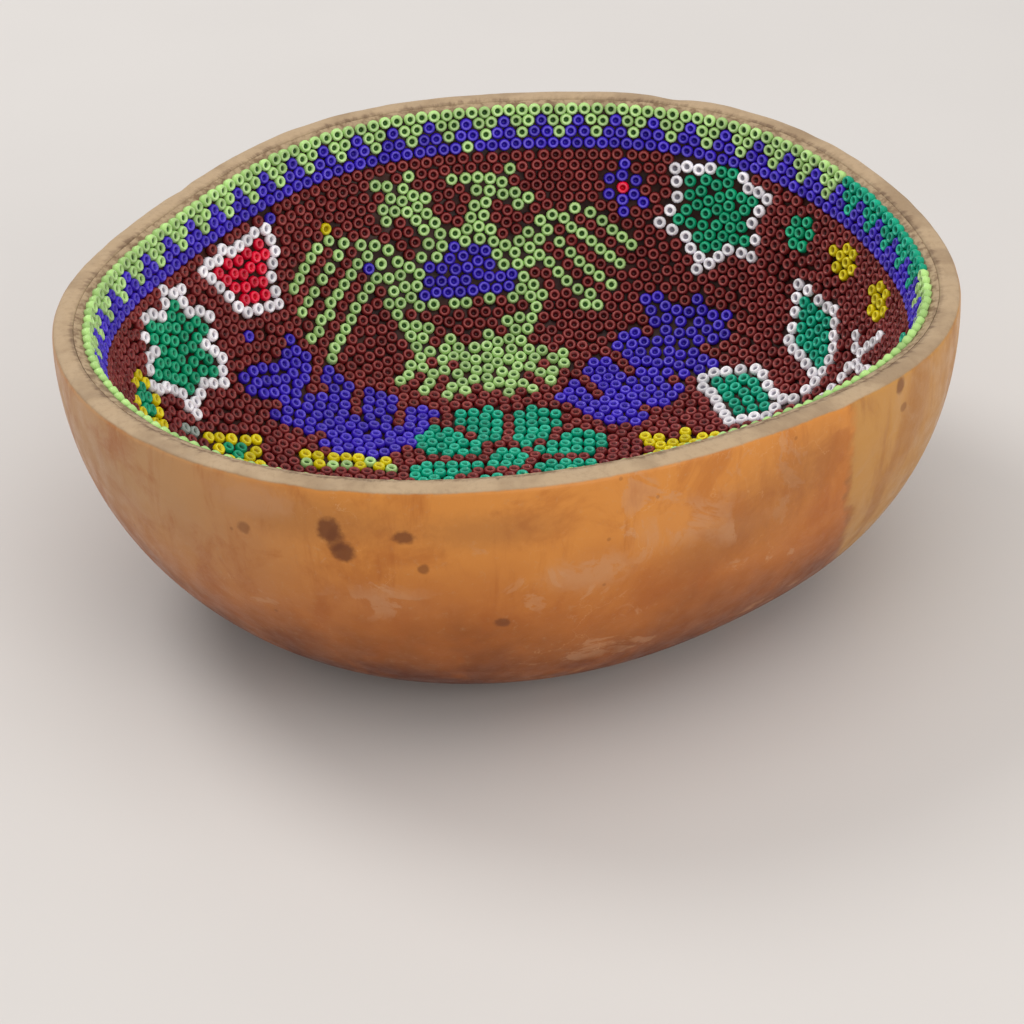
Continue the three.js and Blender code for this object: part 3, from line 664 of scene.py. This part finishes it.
# Finishes

beadGlasses = {
    # body, pale ring that is a painted highlight, hole darkened with painted shade, and how clear it is
    "beads_light_green": ((0.39, 0.63, 0.21), (0.56, 0.78, 0.38), (0.03, 0.09, 0.02)),
    "beads_green": ((0.0, 0.30, 0.14), (0.06, 0.52, 0.30), (0.0, 0.10, 0.05)),
    "beads_teal": ((0.0, 0.34, 0.20), (0.06, 0.56, 0.40), (0.0, 0.13, 0.08)),
    "beads_blue": ((0.040, 0.014, 0.48), (0.17, 0.13, 0.70), (0.024, 0.010, 0.30)),
    "beads_oxblood": ((0.15, 0.013, 0.014), (0.36, 0.085, 0.078), (0.060, 0.006, 0.007)),
    "beads_yellow": ((0.74, 0.60, 0.0), (0.86, 0.78, 0.06), (0.40, 0.30, 0.0)),
    "beads_red": ((0.72, 0.0, 0.028), (0.90, 0.10, 0.16), (0.45, 0.0, 0.014)),
    "beads_white": ((0.90, 0.88, 0.94), (0.95, 0.94, 0.97), (0.28, 0.27, 0.32)),
    "beads_clear": ((0.44, 0.54, 0.48), (0.74, 0.82, 0.76), (0.20, 0.26, 0.22), 0.3),
}
gloss = {
    "roughness": (0.18, 0.36),
    "coat": 0.04,
    "coatRoughness": 0.08,
    "specular": 0.17,
    "tintSpread": 0.2,
}


# A material under work, with short calls for the nodes that the finishes share.
class Finish:
    def __init__(self, name):
        self.material = bpy.data.materials.new(name)
        self.material.use_nodes = True
        self.tree = self.material.node_tree
        self.shader = self.tree.nodes["Principled BSDF"]
        self.place = None

    def add(self, kind, inputs, output=0, **settings):
        return addNode(self.tree, "ShaderNode" + kind, inputs, output, **settings)

    def maths(self, operation, *values):
        return self.add("Math", dict(enumerate(values)), operation=operation)

    def times(self, a, b):
        return self.maths("MULTIPLY", a, b)

    def plus(self, a, b):
        return self.maths("ADD", a, b)

    def shaken(self, value, noise, size):
        # a value that a noise pushes up and down
        return self.plus(value, self.times(self.maths("SUBTRACT", noise, 0.5), size))

    def range(self, value, low, high, to=(0.0, 1.0)):
        ends = {"From Min": low, "From Max": high, "To Min": to[0], "To Max": to[1]}
        return self.add("MapRange", {"Value": value, **ends}, interpolation_type="SMOOTHSTEP")

    def mix(self, share, a, b, blend="MIX"):
        return self.add("Mix", {0: share, 6: a, 7: b}, 2, data_type="RGBA", blend_type=blend)

    def attribute(self, name, output="Fac"):
        return self.add("Attribute", {}, output, attribute_name=name)

    def millimetres(self):
        if self.place is None:
            where = self.add("TexCoord", {}, "Object")
            self.place = self.add("Mapping", {"Vector": where, "Scale": (1000, 1000, 1000)})
        return self.place

    def noise(self, scale, detail=3.0, roughness=0.55, place=None, stretch=None, distortion=0.0):
        place = place if place is not None else self.millimetres()
        if stretch:
            place = self.add("Mapping", {"Vector": place, "Scale": stretch})
        return self.add("TexNoise", {
            "Scale": scale, "Detail": detail, "Roughness": roughness, "Distortion": distortion,
            "Vector": place,
        })

    def flecks(self, scale, size):
        cells = self.add("TexVoronoi", {"Scale": scale, "Vector": self.millimetres()}, "Distance")
        return self.range(cells, size, size * 0.4)

    def cracks(self, scale, width, where):
        # fine wandering lines, only in some places
        sway = self.noise(0.25, 4).node.outputs["Color"]
        bent = {0: sway, 1: (9, 9, 9), 2: self.millimetres()}
        cells = {"Scale": scale, "Vector": self.add("VectorMath", bent, operation="MULTIPLY_ADD")}
        edge = self.add("TexVoronoi", cells, "Distance", feature="DISTANCE_TO_EDGE")
        return self.times(self.range(edge, width, 0), self.range(where, 0.52, 0.6, (0.0, 0.35)))

    def spot(self, centre, reach, soft=0.5):
        # 1 inside a soft spot; reach is its half size each way
        away = self.add("VectorMath", {0: self.millimetres(), 1: centre}, operation="SUBTRACT")
        shrunk = self.add("VectorMath", {0: away, 1: reach}, operation="DIVIDE")
        length = self.add("VectorMath", {0: shrunk}, "Value", operation="LENGTH")
        wobble = self.maths("MULTIPLY_ADD", self.noise(0.9, 3), 0.8, -0.4)
        return self.range(self.plus(length, wobble), 1 + soft / 2, 1 - soft / 2)

    def bump(self, height, distance, strength=1.0):
        inputs = {"Strength": strength, "Distance": distance * metre, "Height": height}
        putIn(self.tree, self.add("Bump", inputs), self.shader.inputs["Normal"])

    def dress(self, **sockets):
        for name, value in sockets.items():
            putIn(self.tree, value, self.shader.inputs[name.replace("_", " ")])
        return self.material


def beadGlass(slot, body, ring, shadedHole, clear=0.0):
    finish = Finish(slot)
    outwards = finish.attribute("fromHole")
    tint = finish.attribute("tint")
    shade = finish.maths("MULTIPLY_ADD", tint, 2 * gloss["tintSpread"], 1 - gloss["tintSpread"])
    cloud = finish.noise(0.8, 3)
    # the pale ring round the hole is a painted highlight, broken up by a noise
    highlightRingShare = finish.times(finish.range(outwards, 0.42, 0.56), finish.range(outwards, 0.90, 0.66))
    highlightRingShare = finish.times(highlightRingShare, finish.range(cloud, 0.30, 0.62, (0.25, 0.8)))
    colour = finish.mix(highlightRingShare, body, ring)
    # the hole colour is painted shade down the hole, over the wax at its floor
    colour = finish.mix(finish.range(outwards, 0.34, 0.48), shadedHole, colour)
    colour = finish.mix(1.0, colour, shade, "MULTIPLY")
    rough = finish.range(finish.noise(0.6, 2), 0.25, 0.75, gloss["roughness"])
    finish.bump(finish.noise(1.6, 2), 0.05, 0.4)
    return finish.dress(
        Base_Color=colour, Roughness=rough, IOR=1.52, Specular_IOR_Level=gloss["specular"],
        Coat_Weight=gloss["coat"], Coat_Roughness=gloss["coatRoughness"], Transmission_Weight=clear,
    )


glasses = {slot: beadGlass(slot, *look) for slot, look in beadGlasses.items()}

# The beads of every solid

slots = {part["node"]: part["material_slot"] for part in frame["record"]["subparts"]}
groundSplits = 3


def layBeads(node, points, lies, name=None, slot=None):
    slot = slot or slots[node]
    count = len(points)
    sizes = 1 + rng.normal(0, bead["sizeSpread"], count)
    if slot == "beads_white":
        sizes *= bead["whiteSize"]
    centres = points - lies * (bead["height"] / 2 + rng.uniform(0, 2 * bead["sink"], count))[:, None]
    piece = strewBeads(name or node + "_beads", centres, lies, sizes, rng.random(count), glasses[slot])
    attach(piece, "root")
    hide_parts(node)
    return piece


fieldPoints = fromChart(chartPoints, everyPlace)
alongX, alongY = chartSlopes(everyPlace)
fieldLies = unit(np.cross(alongX, alongY))
fieldLies *= np.sign((fieldLies * (np.array([0, 0, 90]) - fieldPoints)).sum(1))[:, None]
_, borderLies = liftedPoint(borderBearing, borderSlide, form["beadFace"])
for node in sorted(set(owners) - {"ground"}):
    mine = np.flatnonzero(owners == node)
    if node == "row_yellow":  # every third bead is a light green one
        mine = mine[np.argsort(fieldPoints[mine, 0])]
        green, mine = mine[1::3], np.delete(mine, np.s_[1::3])
        layBeads(node, fieldPoints[green], fieldLies[green], "row_green_beads", "beads_light_green")
    layBeads(node, fieldPoints[mine], fieldLies[mine])
for node in sorted(set(borderNode)):
    mine = borderNode == node
    layBeads(node, borderPoints[mine], borderLies[mine])
mine = np.flatnonzero(owners == "ground")
mine = mine[np.argsort(np.arctan2(*fieldPoints[mine, 1::-1].T))]
for number, part in enumerate(np.array_split(mine, groundSplits)):
    layBeads("ground", fieldPoints[part], fieldLies[part], f"ground_beads_{number + 1}")
say("beads laid")

# The gourd: one closed skin from the foot over the rim to the middle of the hollow

gourd = {
    "bearings": 480,
    "outerSteps": 80,
    "innerSteps": 26,
    "rimRound": 0.95,
    "innerRound": 0.4,
    "roundSteps": 6,
    "topSteps": 6,
    "crown": 0.12,
    "bumps": 0.16,
    "rimWear": 0.06,
    "chips": [  # bearing, width, depth
        (66, 3.0, 0.55), (148, 2.2, 0.3), (-38, 2.6, 0.25), (4, 2.4, 0.3), (-112, 2.3, 0.2),
    ],
    "lastSlide": 89,
}


def gourdProfile():
    bearing = np.arange(gourd["bearings"]) * 2 * np.pi / gourd["bearings"]
    outerSlide = slideAtDepth(bearing, gourd["rimRound"], form["sideFullness"], 0)
    innerSlide = slideAtDepth(bearing, gourd["innerRound"], floor=0)
    rows, wear = [], []
    last = math.radians(gourd["lastSlide"])
    for share in np.linspace(0, 1, gourd["outerSteps"]) ** 1.1:
        rows.append(skinPoint(bearing, last + (outerSlide - last) * share))
        wear.append(0.0)
    outer, inner = rows[-1], cavityPoint(bearing, innerSlide)
    level = rimLevel(bearing)
    inwards = inner - outer
    inwards[:, 2] = 0
    width = np.linalg.norm(inwards, axis=1)
    inwards /= width[:, None]
    for step in range(1, gourd["roundSteps"] + 1):
        angle = math.pi / 2 * step / gourd["roundSteps"]
        point = outer + inwards * gourd["rimRound"] * (1 - math.cos(angle))
        point[:, 2] = level - gourd["rimRound"] * (1 - math.sin(angle))
        rows.append(point)
        wear.append(0.4 * math.sin(angle) ** 2)
    flat = width - gourd["rimRound"] - gourd["innerRound"]
    for step in range(1, gourd["topSteps"]):
        share = step / gourd["topSteps"]
        point = outer + inwards * (gourd["rimRound"] + flat * share)[:, None]
        point[:, 2] = level + gourd["crown"] * math.sin(math.pi * share)
        rows.append(point)
        wear.append(0.4 + 0.45 * share)
    for step in range(gourd["roundSteps"]):
        angle = math.pi / 2 * (1 + step / gourd["roundSteps"])
        point = inner - inwards * gourd["innerRound"] * (1 + math.cos(angle))
        point[:, 2] = level - gourd["innerRound"] * (1 - math.sin(angle))
        rows.append(point)
        wear.append(0.9)
    for share in np.linspace(0, 1, gourd["innerSteps"]):
        rows.append(cavityPoint(bearing, innerSlide + (last - innerSlide) * share))
        wear.append(1.0)
    return bearing, np.stack(rows), np.array(wear)


def ripple(points, scale, seed):
    # smooth lumps in space, about one high and one low, from a few crossed waves
    waves = np.random.default_rng(seed)
    total = np.zeros(points.shape[:-1])
    for _ in range(9):
        way = unit(waves.normal(size=3)) * waves.uniform(0.6, 1.7) / scale
        total += np.sin(points @ way + waves.uniform(0, 6.28))
    return total / 3


def bandFaces(level, above, count):
    # one ring of faces between two rings of points
    level, above = level * count, above * count
    turns = [(i, (i + 1) % count) for i in range(count)]
    return [(level + i, level + j, above + j, above + i) for i, j in turns]


def capFaces(level, tip, count, forward):
    ring = [(level * count + i, level * count + (i + 1) % count) for i in range(count)]
    return [(a, b, tip) if forward else (b, a, tip) for a, b in ring]


def makeGourd():
    bearing, rows, wear = gourdProfile()
    centre = rows.mean(axis=(0, 1))
    away = unit(rows - centre)
    away[..., 2] *= 0.3
    skinShare = np.clip(1 - wear, 0, 1)[:, None]
    rows += away * (ripple(rows, 9, 3) * gourd["bumps"] * skinShare)[..., None]
    fine = ripple(rows, 1.6, 5) * 0.6 + ripple(rows, 0.7, 6) * 0.4
    rimShare = np.zeros(len(rows))
    end = gourd["outerSteps"] + 2 * gourd["roundSteps"] + gourd["topSteps"]
    rimShare[gourd["outerSteps"] - 2:end] = 1
    rows[..., 2] += fine * gourd["rimWear"] * rimShare[:, None]
    run, halfLap = bearing * form["rimRadius"], np.pi * form["rimRadius"]
    for turn, width, depth in gourd["chips"]:
        off = (run - math.radians(turn) * form["rimRadius"] + halfLap) % (2 * halfLap) - halfLap
        dip = np.exp(-(off / width) ** 2) * depth
        outside = np.zeros(len(rows))
        outside[gourd["outerSteps"]:gourd["outerSteps"] + gourd["roundSteps"] + 3] = 1
        rows[..., 2] -= outside[:, None] * dip
    foot = np.array([[*rows[0, :, :2].mean(0), 0.0]])
    rows[..., 2] = np.maximum(rows[..., 2], 0)
    floor = rows[-1].mean(0)[None]
    points = np.concatenate([rows.reshape(-1, 3), foot, floor])
    count, levels = gourd["bearings"], len(rows)
    faces = [face for level in range(levels - 1) for face in bandFaces(level, level + 1, count)]
    tip = levels * count
    faces += capFaces(0, tip, count, False) + capFaces(levels - 1, tip + 1, count, True)
    piece = addMesh("gourd_skin", points, faces)
    circle = np.stack([np.cos(bearing), np.sin(bearing)], 1)
    around = np.repeat(circle[None], levels, 0) * form["rimRadius"]
    steps = np.linalg.norm(np.diff(rows, axis=0), axis=2)
    runs = np.concatenate([np.zeros((1, count)), np.cumsum(steps, 0)])
    grain = np.concatenate([around, runs[..., None]], axis=2).reshape(-1, 3)
    addAttribute(piece, "grainPlace", np.concatenate([grain, np.zeros((2, 3))]), "FLOAT_VECTOR")
    addAttribute(piece, "cutRim", np.append(np.repeat(wear, count), (0, 1)))
    return piece


gourdSkin = makeGourd()
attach(gourdSkin, "root")
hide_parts("gourd_shell")

# The wax bed, swelling up between the beads

wax = {
    "bearings": 480,
    "steps": 120,
    "belowRim": 0.22,
    "bed": 1.48,
    "lip": 1.5,
    "thin": 0.1,
    "swell": 0.09,
    "back": 0.05,
    "backSteps": 24,
}
waxLook = {
    # the near-black bed is the dark wax deepened with painted shade between the beads
    "bed": (0.020, 0.005, 0.004),
    "bedPale": (0.055, 0.016, 0.010),
    "lip": (0.40, 0.29, 0.18),
    "lipDark": (0.20, 0.125, 0.07),
}


def makeWax():
    bearing = np.arange(wax["bearings"]) * 2 * np.pi / wax["bearings"]
    start = slideAtDepth(bearing, wax["belowRim"])
    last = math.radians(gourd["lastSlide"])
    rows, edge = [], []
    for share in np.linspace(0, 1, wax["steps"]) ** 1.6:
        slide = start + (last - start) * share
        depth = (rimLevel(bearing) - form["floorThickness"]) * np.sin(slide) ** (2 / form["wallFullness"])
        rise = np.clip((depth - wax["belowRim"]) / wax["lip"], 0, 1)
        lift = wax["thin"] + (wax["bed"] - wax["thin"]) * np.sin(rise * np.pi / 2)
        points, normals = liftedPoint(bearing, slide, lift)
        points += normals * (ripple(points, 1.3, 11) * wax["swell"] * rise)[:, None]
        rows.append(points)
        edge.append(rise)
    for share in np.linspace(1, 0, wax["backSteps"]):
        rows.append(liftedPoint(bearing, start + (last - start) * share, wax["back"])[0])
        edge.append(np.zeros(len(bearing)))
    front = wax["steps"]
    count = wax["bearings"]
    middleFront, middleBack = rows[front - 1].mean(0), rows[front].mean(0)
    rows = np.stack(rows)
    points = np.concatenate([rows.reshape(-1, 3), [middleFront, middleBack]])
    bands = [level for level in range(len(rows)) if level != front - 1]
    faces = [face for level in bands for face in bandFaces(level, (level + 1) % len(rows), count)]
    tip = len(rows) * count
    faces += capFaces(front - 1, tip, count, True) + capFaces(front, tip + 1, count, False)
    piece = addMesh("wax_bed", points, faces)
    addAttribute(piece, "bedShare", np.append(np.concatenate(edge), (1, 0)))
    return piece


waxBed = makeWax()
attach(waxBed, "root")
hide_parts("wax_lining")


def waxFinish():
    finish = Finish("beeswax")
    mottle = finish.noise(0.35, 4)
    # near-black bed: dark wax with painted shade of the gaps between the beads
    colour = finish.mix(finish.range(mottle, 0.35, 0.7), waxLook["bed"], waxLook["bedPale"])
    share = finish.attribute("bedShare")
    fibres = finish.range(finish.noise(0.8, 4), 0.4, 0.65)
    lip = finish.mix(fibres, waxLook["lip"], waxLook["lipDark"])
    colour = finish.mix(finish.range(share, 0.35, 0.95), lip, colour)
    finish.bump(finish.noise(1.2, 4), 0.15, 0.6)
    rough = finish.range(finish.noise(0.5, 2), 0.3, 0.7, (0.38, 0.6))
    return finish.dress(Base_Color=colour, Roughness=rough, Specular_IOR_Level=0.25)


waxBed.data.materials.append(waxFinish())

skinLook = {
    "crown": (0.57, 0.22, 0.041),
    "belly": (0.42, 0.135, 0.026),
    # the near-black low colour is painted shade under the bowl
    "low": (0.12, 0.022, 0.002),
    "pale": (0.44, 0.275, 0.14),
    "patch": (0.45, 0.235, 0.062),
    "patchEdge": (0.25, 0.09, 0.022),
    "deep": (0.35, 0.095, 0.013),
    "crack": (0.60, 0.34, 0.16),
    "spot": (0.13, 0.035, 0.009),
    # pale pink, partly painted reflection and partly the skin's mottling
    "cloud": (0.50, 0.26, 0.13),
    "smoke": (0.26, 0.10, 0.030),
    "rim": (0.44, 0.32, 0.20),
    "rimDark": (0.24, 0.16, 0.095),
    "stain": (0.16, 0.10, 0.06),
    "spots": [  # middle, half sizes, share
        ((-25.4, -63.3, 42.6), (1.7, 4, 2.0), 0.85), ((-23.4, -64.0, 39.2), (1.6, 4, 1.7), 0.85),
        ((-24.5, -63.7, 41.0), (1.3, 4, 1.9), 0.6), ((-14.9, -65.0, 42.3), (1.5, 3, 1.0), 0.75),
        ((-12.2, -64.6, 36.9), (0.8, 3, 0.8), 0.6), ((-37.6, -59.0, 40.1), (0.9, 3, 1.0), 0.5),
        ((-1.2, -61.3, 25.9), (1.1, 3, 0.9), 0.7), ((57.4, -27.3, 45.1), (0.7, 2, 1.3), 0.7),
        ((58.2, -26.5, 41.0), (0.5, 2, 0.8), 0.5), ((62.0, 22.0, 30.0), (1.8, 3, 2.4), 0.6),
        ((-30.0, 55.0, 33.0), (2.4, 4, 3.0), 0.7), ((18.0, 60.0, 22.0), (1.3, 3, 1.1), 0.6),
    ],
    "smokes": [
        ((-28, -63, 44), (12, 9, 3.2)), ((38.0, -47, 36.0), (8, 9, 7)), ((29.0, -52, 32.0), (7, 9, 4)),
        ((-3, -64, 43), (9, 9, 2.6)), ((-40.0, 50, 36.0), (11, 9, 7)), ((45.0, -42.0, 40.0), (5, 7, 5)),
    ],
    # pale patches, partly painted reflection and partly mottling: middle, half sizes
    "clouds": [
        ((25.3, -54.2, 38.5), (7, 9, 3.6)), ((11.2, -60.1, 33.7), (6, 9, 3.0)),
        ((-36.3, -59.9, 45.4), (6, 9, 2.4)), ((-10.0, 58.0, 40.0), (9, 9, 3.4)),
        ((-18.0, -60.0, 30.0), (8, 9, 3.0)), ((33.0, -49.0, 34.0), (4, 6, 2.2)),
    ],
}


def layered(finish, colour, layers):
    for share, name in layers:
        colour = finish.mix(share, colour, skinLook[name])
    return colour


def rimFinish(finish, fine, cut, strokes):
    # the cut rim, stained towards the wax
    blotch = finish.noise(0.09, 3, 0.6)
    stained = finish.range(finish.shaken(cut, strokes, 0.9), 0.72, 1.0)
    return layered(finish, skinLook["rim"], [
        (finish.range(fine, 0.45, 0.75, (0.0, 0.35)), "rimDark"),
        (finish.range(blotch, 0.46, 0.66, (0.0, 0.55)), "rimDark"),
        (finish.times(stained, finish.range(blotch, 0.38, 0.6, (0.25, 0.9))), "stain"),
    ])


def skinFinish():
    finish = Finish("gourd_skin")
    x, _, z = finish.add("SeparateXYZ", {0: finish.millimetres()}).node.outputs
    broad = finish.noise(0.045, 4, 0.6)
    streaks = finish.noise(0.16, 5, 0.65, stretch=(1, 1, 0.28), distortion=0.4)
    fine = finish.noise(0.9, 5, 0.7)
    blush = finish.noise(0.075, 6, 0.62, distortion=0.6)
    bloom = finish.noise(0.11, 8, 0.64, distortion=0.8)
    # from the foot up to the rim, darker towards the foot in painted shade under the bowl, paler on the
    # left, with streaks, blush, and pale bloom that is partly painted reflection and partly mottling
    height = finish.shaken(z, broad, 34)
    left = finish.times(finish.range(x, -20, -56), finish.range(z, 18, 42))
    # pale bloom patches: partly painted reflection, partly mottling
    reflectionBloom = finish.times(finish.range(bloom, 0.585, 0.625), finish.range(broad, 0.46, 0.58, (0.0, 0.42)))
    inReflectionMottle = finish.range(bloom, 0.47, 0.53, (0.08, 0.5))
    colour = layered(finish, skinLook["low"], [
        (finish.range(height, 5, 31), "belly"),
        (finish.range(height, 24, 46), "crown"),
        (finish.times(left, 0.7), "pale"),
        (finish.range(streaks, 0.50, 0.72, (0.0, 0.6)), "deep"),
        (finish.range(blush, 0.50, 0.66, (0.0, 0.5)), "deep"),
        (finish.range(fine, 0.55, 0.8, (0.0, 0.35)), "pale"),
        (reflectionBloom, "cloud"),
        *((finish.times(finish.spot(*place, 1.5), 0.4), "smoke") for place in skinLook["smokes"]),
        *((finish.times(finish.spot(*place, 1.2), inReflectionMottle), "cloud") for place in skinLook["clouds"]),
    ])
    # the paler patch on the right, with a worn brown edge
    wander = finish.shaken(x, finish.noise(0.2, 4), 5)
    patch = layered(finish, skinLook["patch"], [
        (finish.range(streaks, 0.42, 0.64, (0.0, 0.5)), "patchEdge"),
        (finish.range(bloom, 0.5, 0.68, (0.0, 0.5)), "pale"),
    ])
    colour = finish.mix(finish.range(wander, 49.2, 50.8, (0.0, 0.8)), colour, patch)
    edge = finish.times(finish.range(wander, 48.9, 49.7), finish.range(wander, 50.9, 49.9))
    colour = layered(finish, colour, [
        (finish.times(edge, finish.range(bloom, 0.42, 0.58, (0.1, 0.7))), "patchEdge"),
        (finish.cracks(0.085, 0.008, broad), "crack"),
        (finish.times(finish.flecks(0.16, 0.07), 0.35), "spot"),
        *((finish.times(finish.spot(centre, reach, 0.7), share), "spot")
          for centre, reach, share in skinLook["spots"]),
    ])
    grain = finish.attribute("grainPlace", "Vector")
    strokes = finish.noise(1.0, 5, 0.65, place=grain, stretch=(0.9, 0.9, 0.25))
    cut = finish.attribute("cutRim")
    onRim = finish.range(finish.shaken(cut, fine, 0.12), 0.08, 0.24)
    colour = finish.mix(onRim, colour, rimFinish(finish, fine, cut, strokes))
    rough = finish.plus(finish.range(finish.noise(0.3, 4), 0.3, 0.7, (0.3, 0.5)), finish.times(onRim, 0.25))
    finish.bump(finish.plus(finish.times(fine, 0.35), finish.times(strokes, onRim)), 0.25, 0.6)
    return finish.dress(
        Base_Color=colour, Roughness=rough, Specular_IOR_Level=0.25,
        Coat_Weight=0.03, Coat_Roughness=0.3,
    )


gourdSkin.data.materials.append(skinFinish())
say("gourd and wax made")

# Table, light and camera

room = {
    "floor": (0.620, 0.604, 0.596),
    "floorHalf": 2500,
    "sky": (1.0, 0.975, 0.945),
    "skyLevel": 0.66,
    "lamps": [  # name, watts, size, place, colour
        ("window", 2.6, 380, (-470, 330, 690), (1.0, 0.97, 0.93)),
        ("softbox", 4.7, 1400, (160, -160, 1250), (1.0, 0.98, 0.955)),
        ("fill", 3.6, 800, (560, -700, 330), (1.0, 0.955, 0.895)),
    ],
    "lampsAim": (0, 0, 0.02),
    "cameraPlace": (-0.43, -493.5, 310.9),
    "cameraTurn": (58.322, 0, -0.0756),
    "lens": 127.97,
    "sensor": 36,
}
half = room["floorHalf"]
floorCorners = [(-half, -half, 0), (half, -half, 0), (half, half, 0), (-half, half, 0)]
table = addMesh("table", floorCorners, [(0, 1, 2, 3)], False)
tableFinish = Finish("table")
tone = tableFinish.range(tableFinish.noise(0.02, 2), 0.3, 0.7)
table.data.materials.append(tableFinish.dress(
    Base_Color=tableFinish.mix(tone, tuple(c * 0.985 for c in room["floor"]), room["floor"]), Roughness=0.8,
))

world = bpy.data.worlds.new("room")
bpy.context.scene.world = world
world.use_nodes = True
sky = world.node_tree.nodes["Background"].inputs
sky["Color"].default_value = (*room["sky"], 1)
sky["Strength"].default_value = room["skyLevel"]

for name, watts, size, place, colour in room["lamps"]:
    lamp = bpy.data.lights.new(name, "AREA")
    lamp.shape, lamp.size, lamp.energy, lamp.color = "DISK", size * metre, watts, colour
    lampObject = bpy.data.objects.new(name, lamp)
    lampObject.location = Vector(place) * metre
    aim = Vector(room["lampsAim"]) - lampObject.location
    lampObject.rotation_euler = aim.to_track_quat("-Z", "Y").to_euler()
    bpy.context.collection.objects.link(lampObject)

camera = bpy.data.objects.new("camera", bpy.data.cameras.new("camera"))
camera.data.lens, camera.data.sensor_width = room["lens"], room["sensor"]
camera.location = Vector(room["cameraPlace"]) * metre
camera.rotation_euler = [math.radians(turn) for turn in room["cameraTurn"]]
bpy.context.collection.objects.link(camera)
bpy.context.scene.camera = camera
bpy.context.scene.view_settings.view_transform = "Standard"

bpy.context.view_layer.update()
say("scene ready")
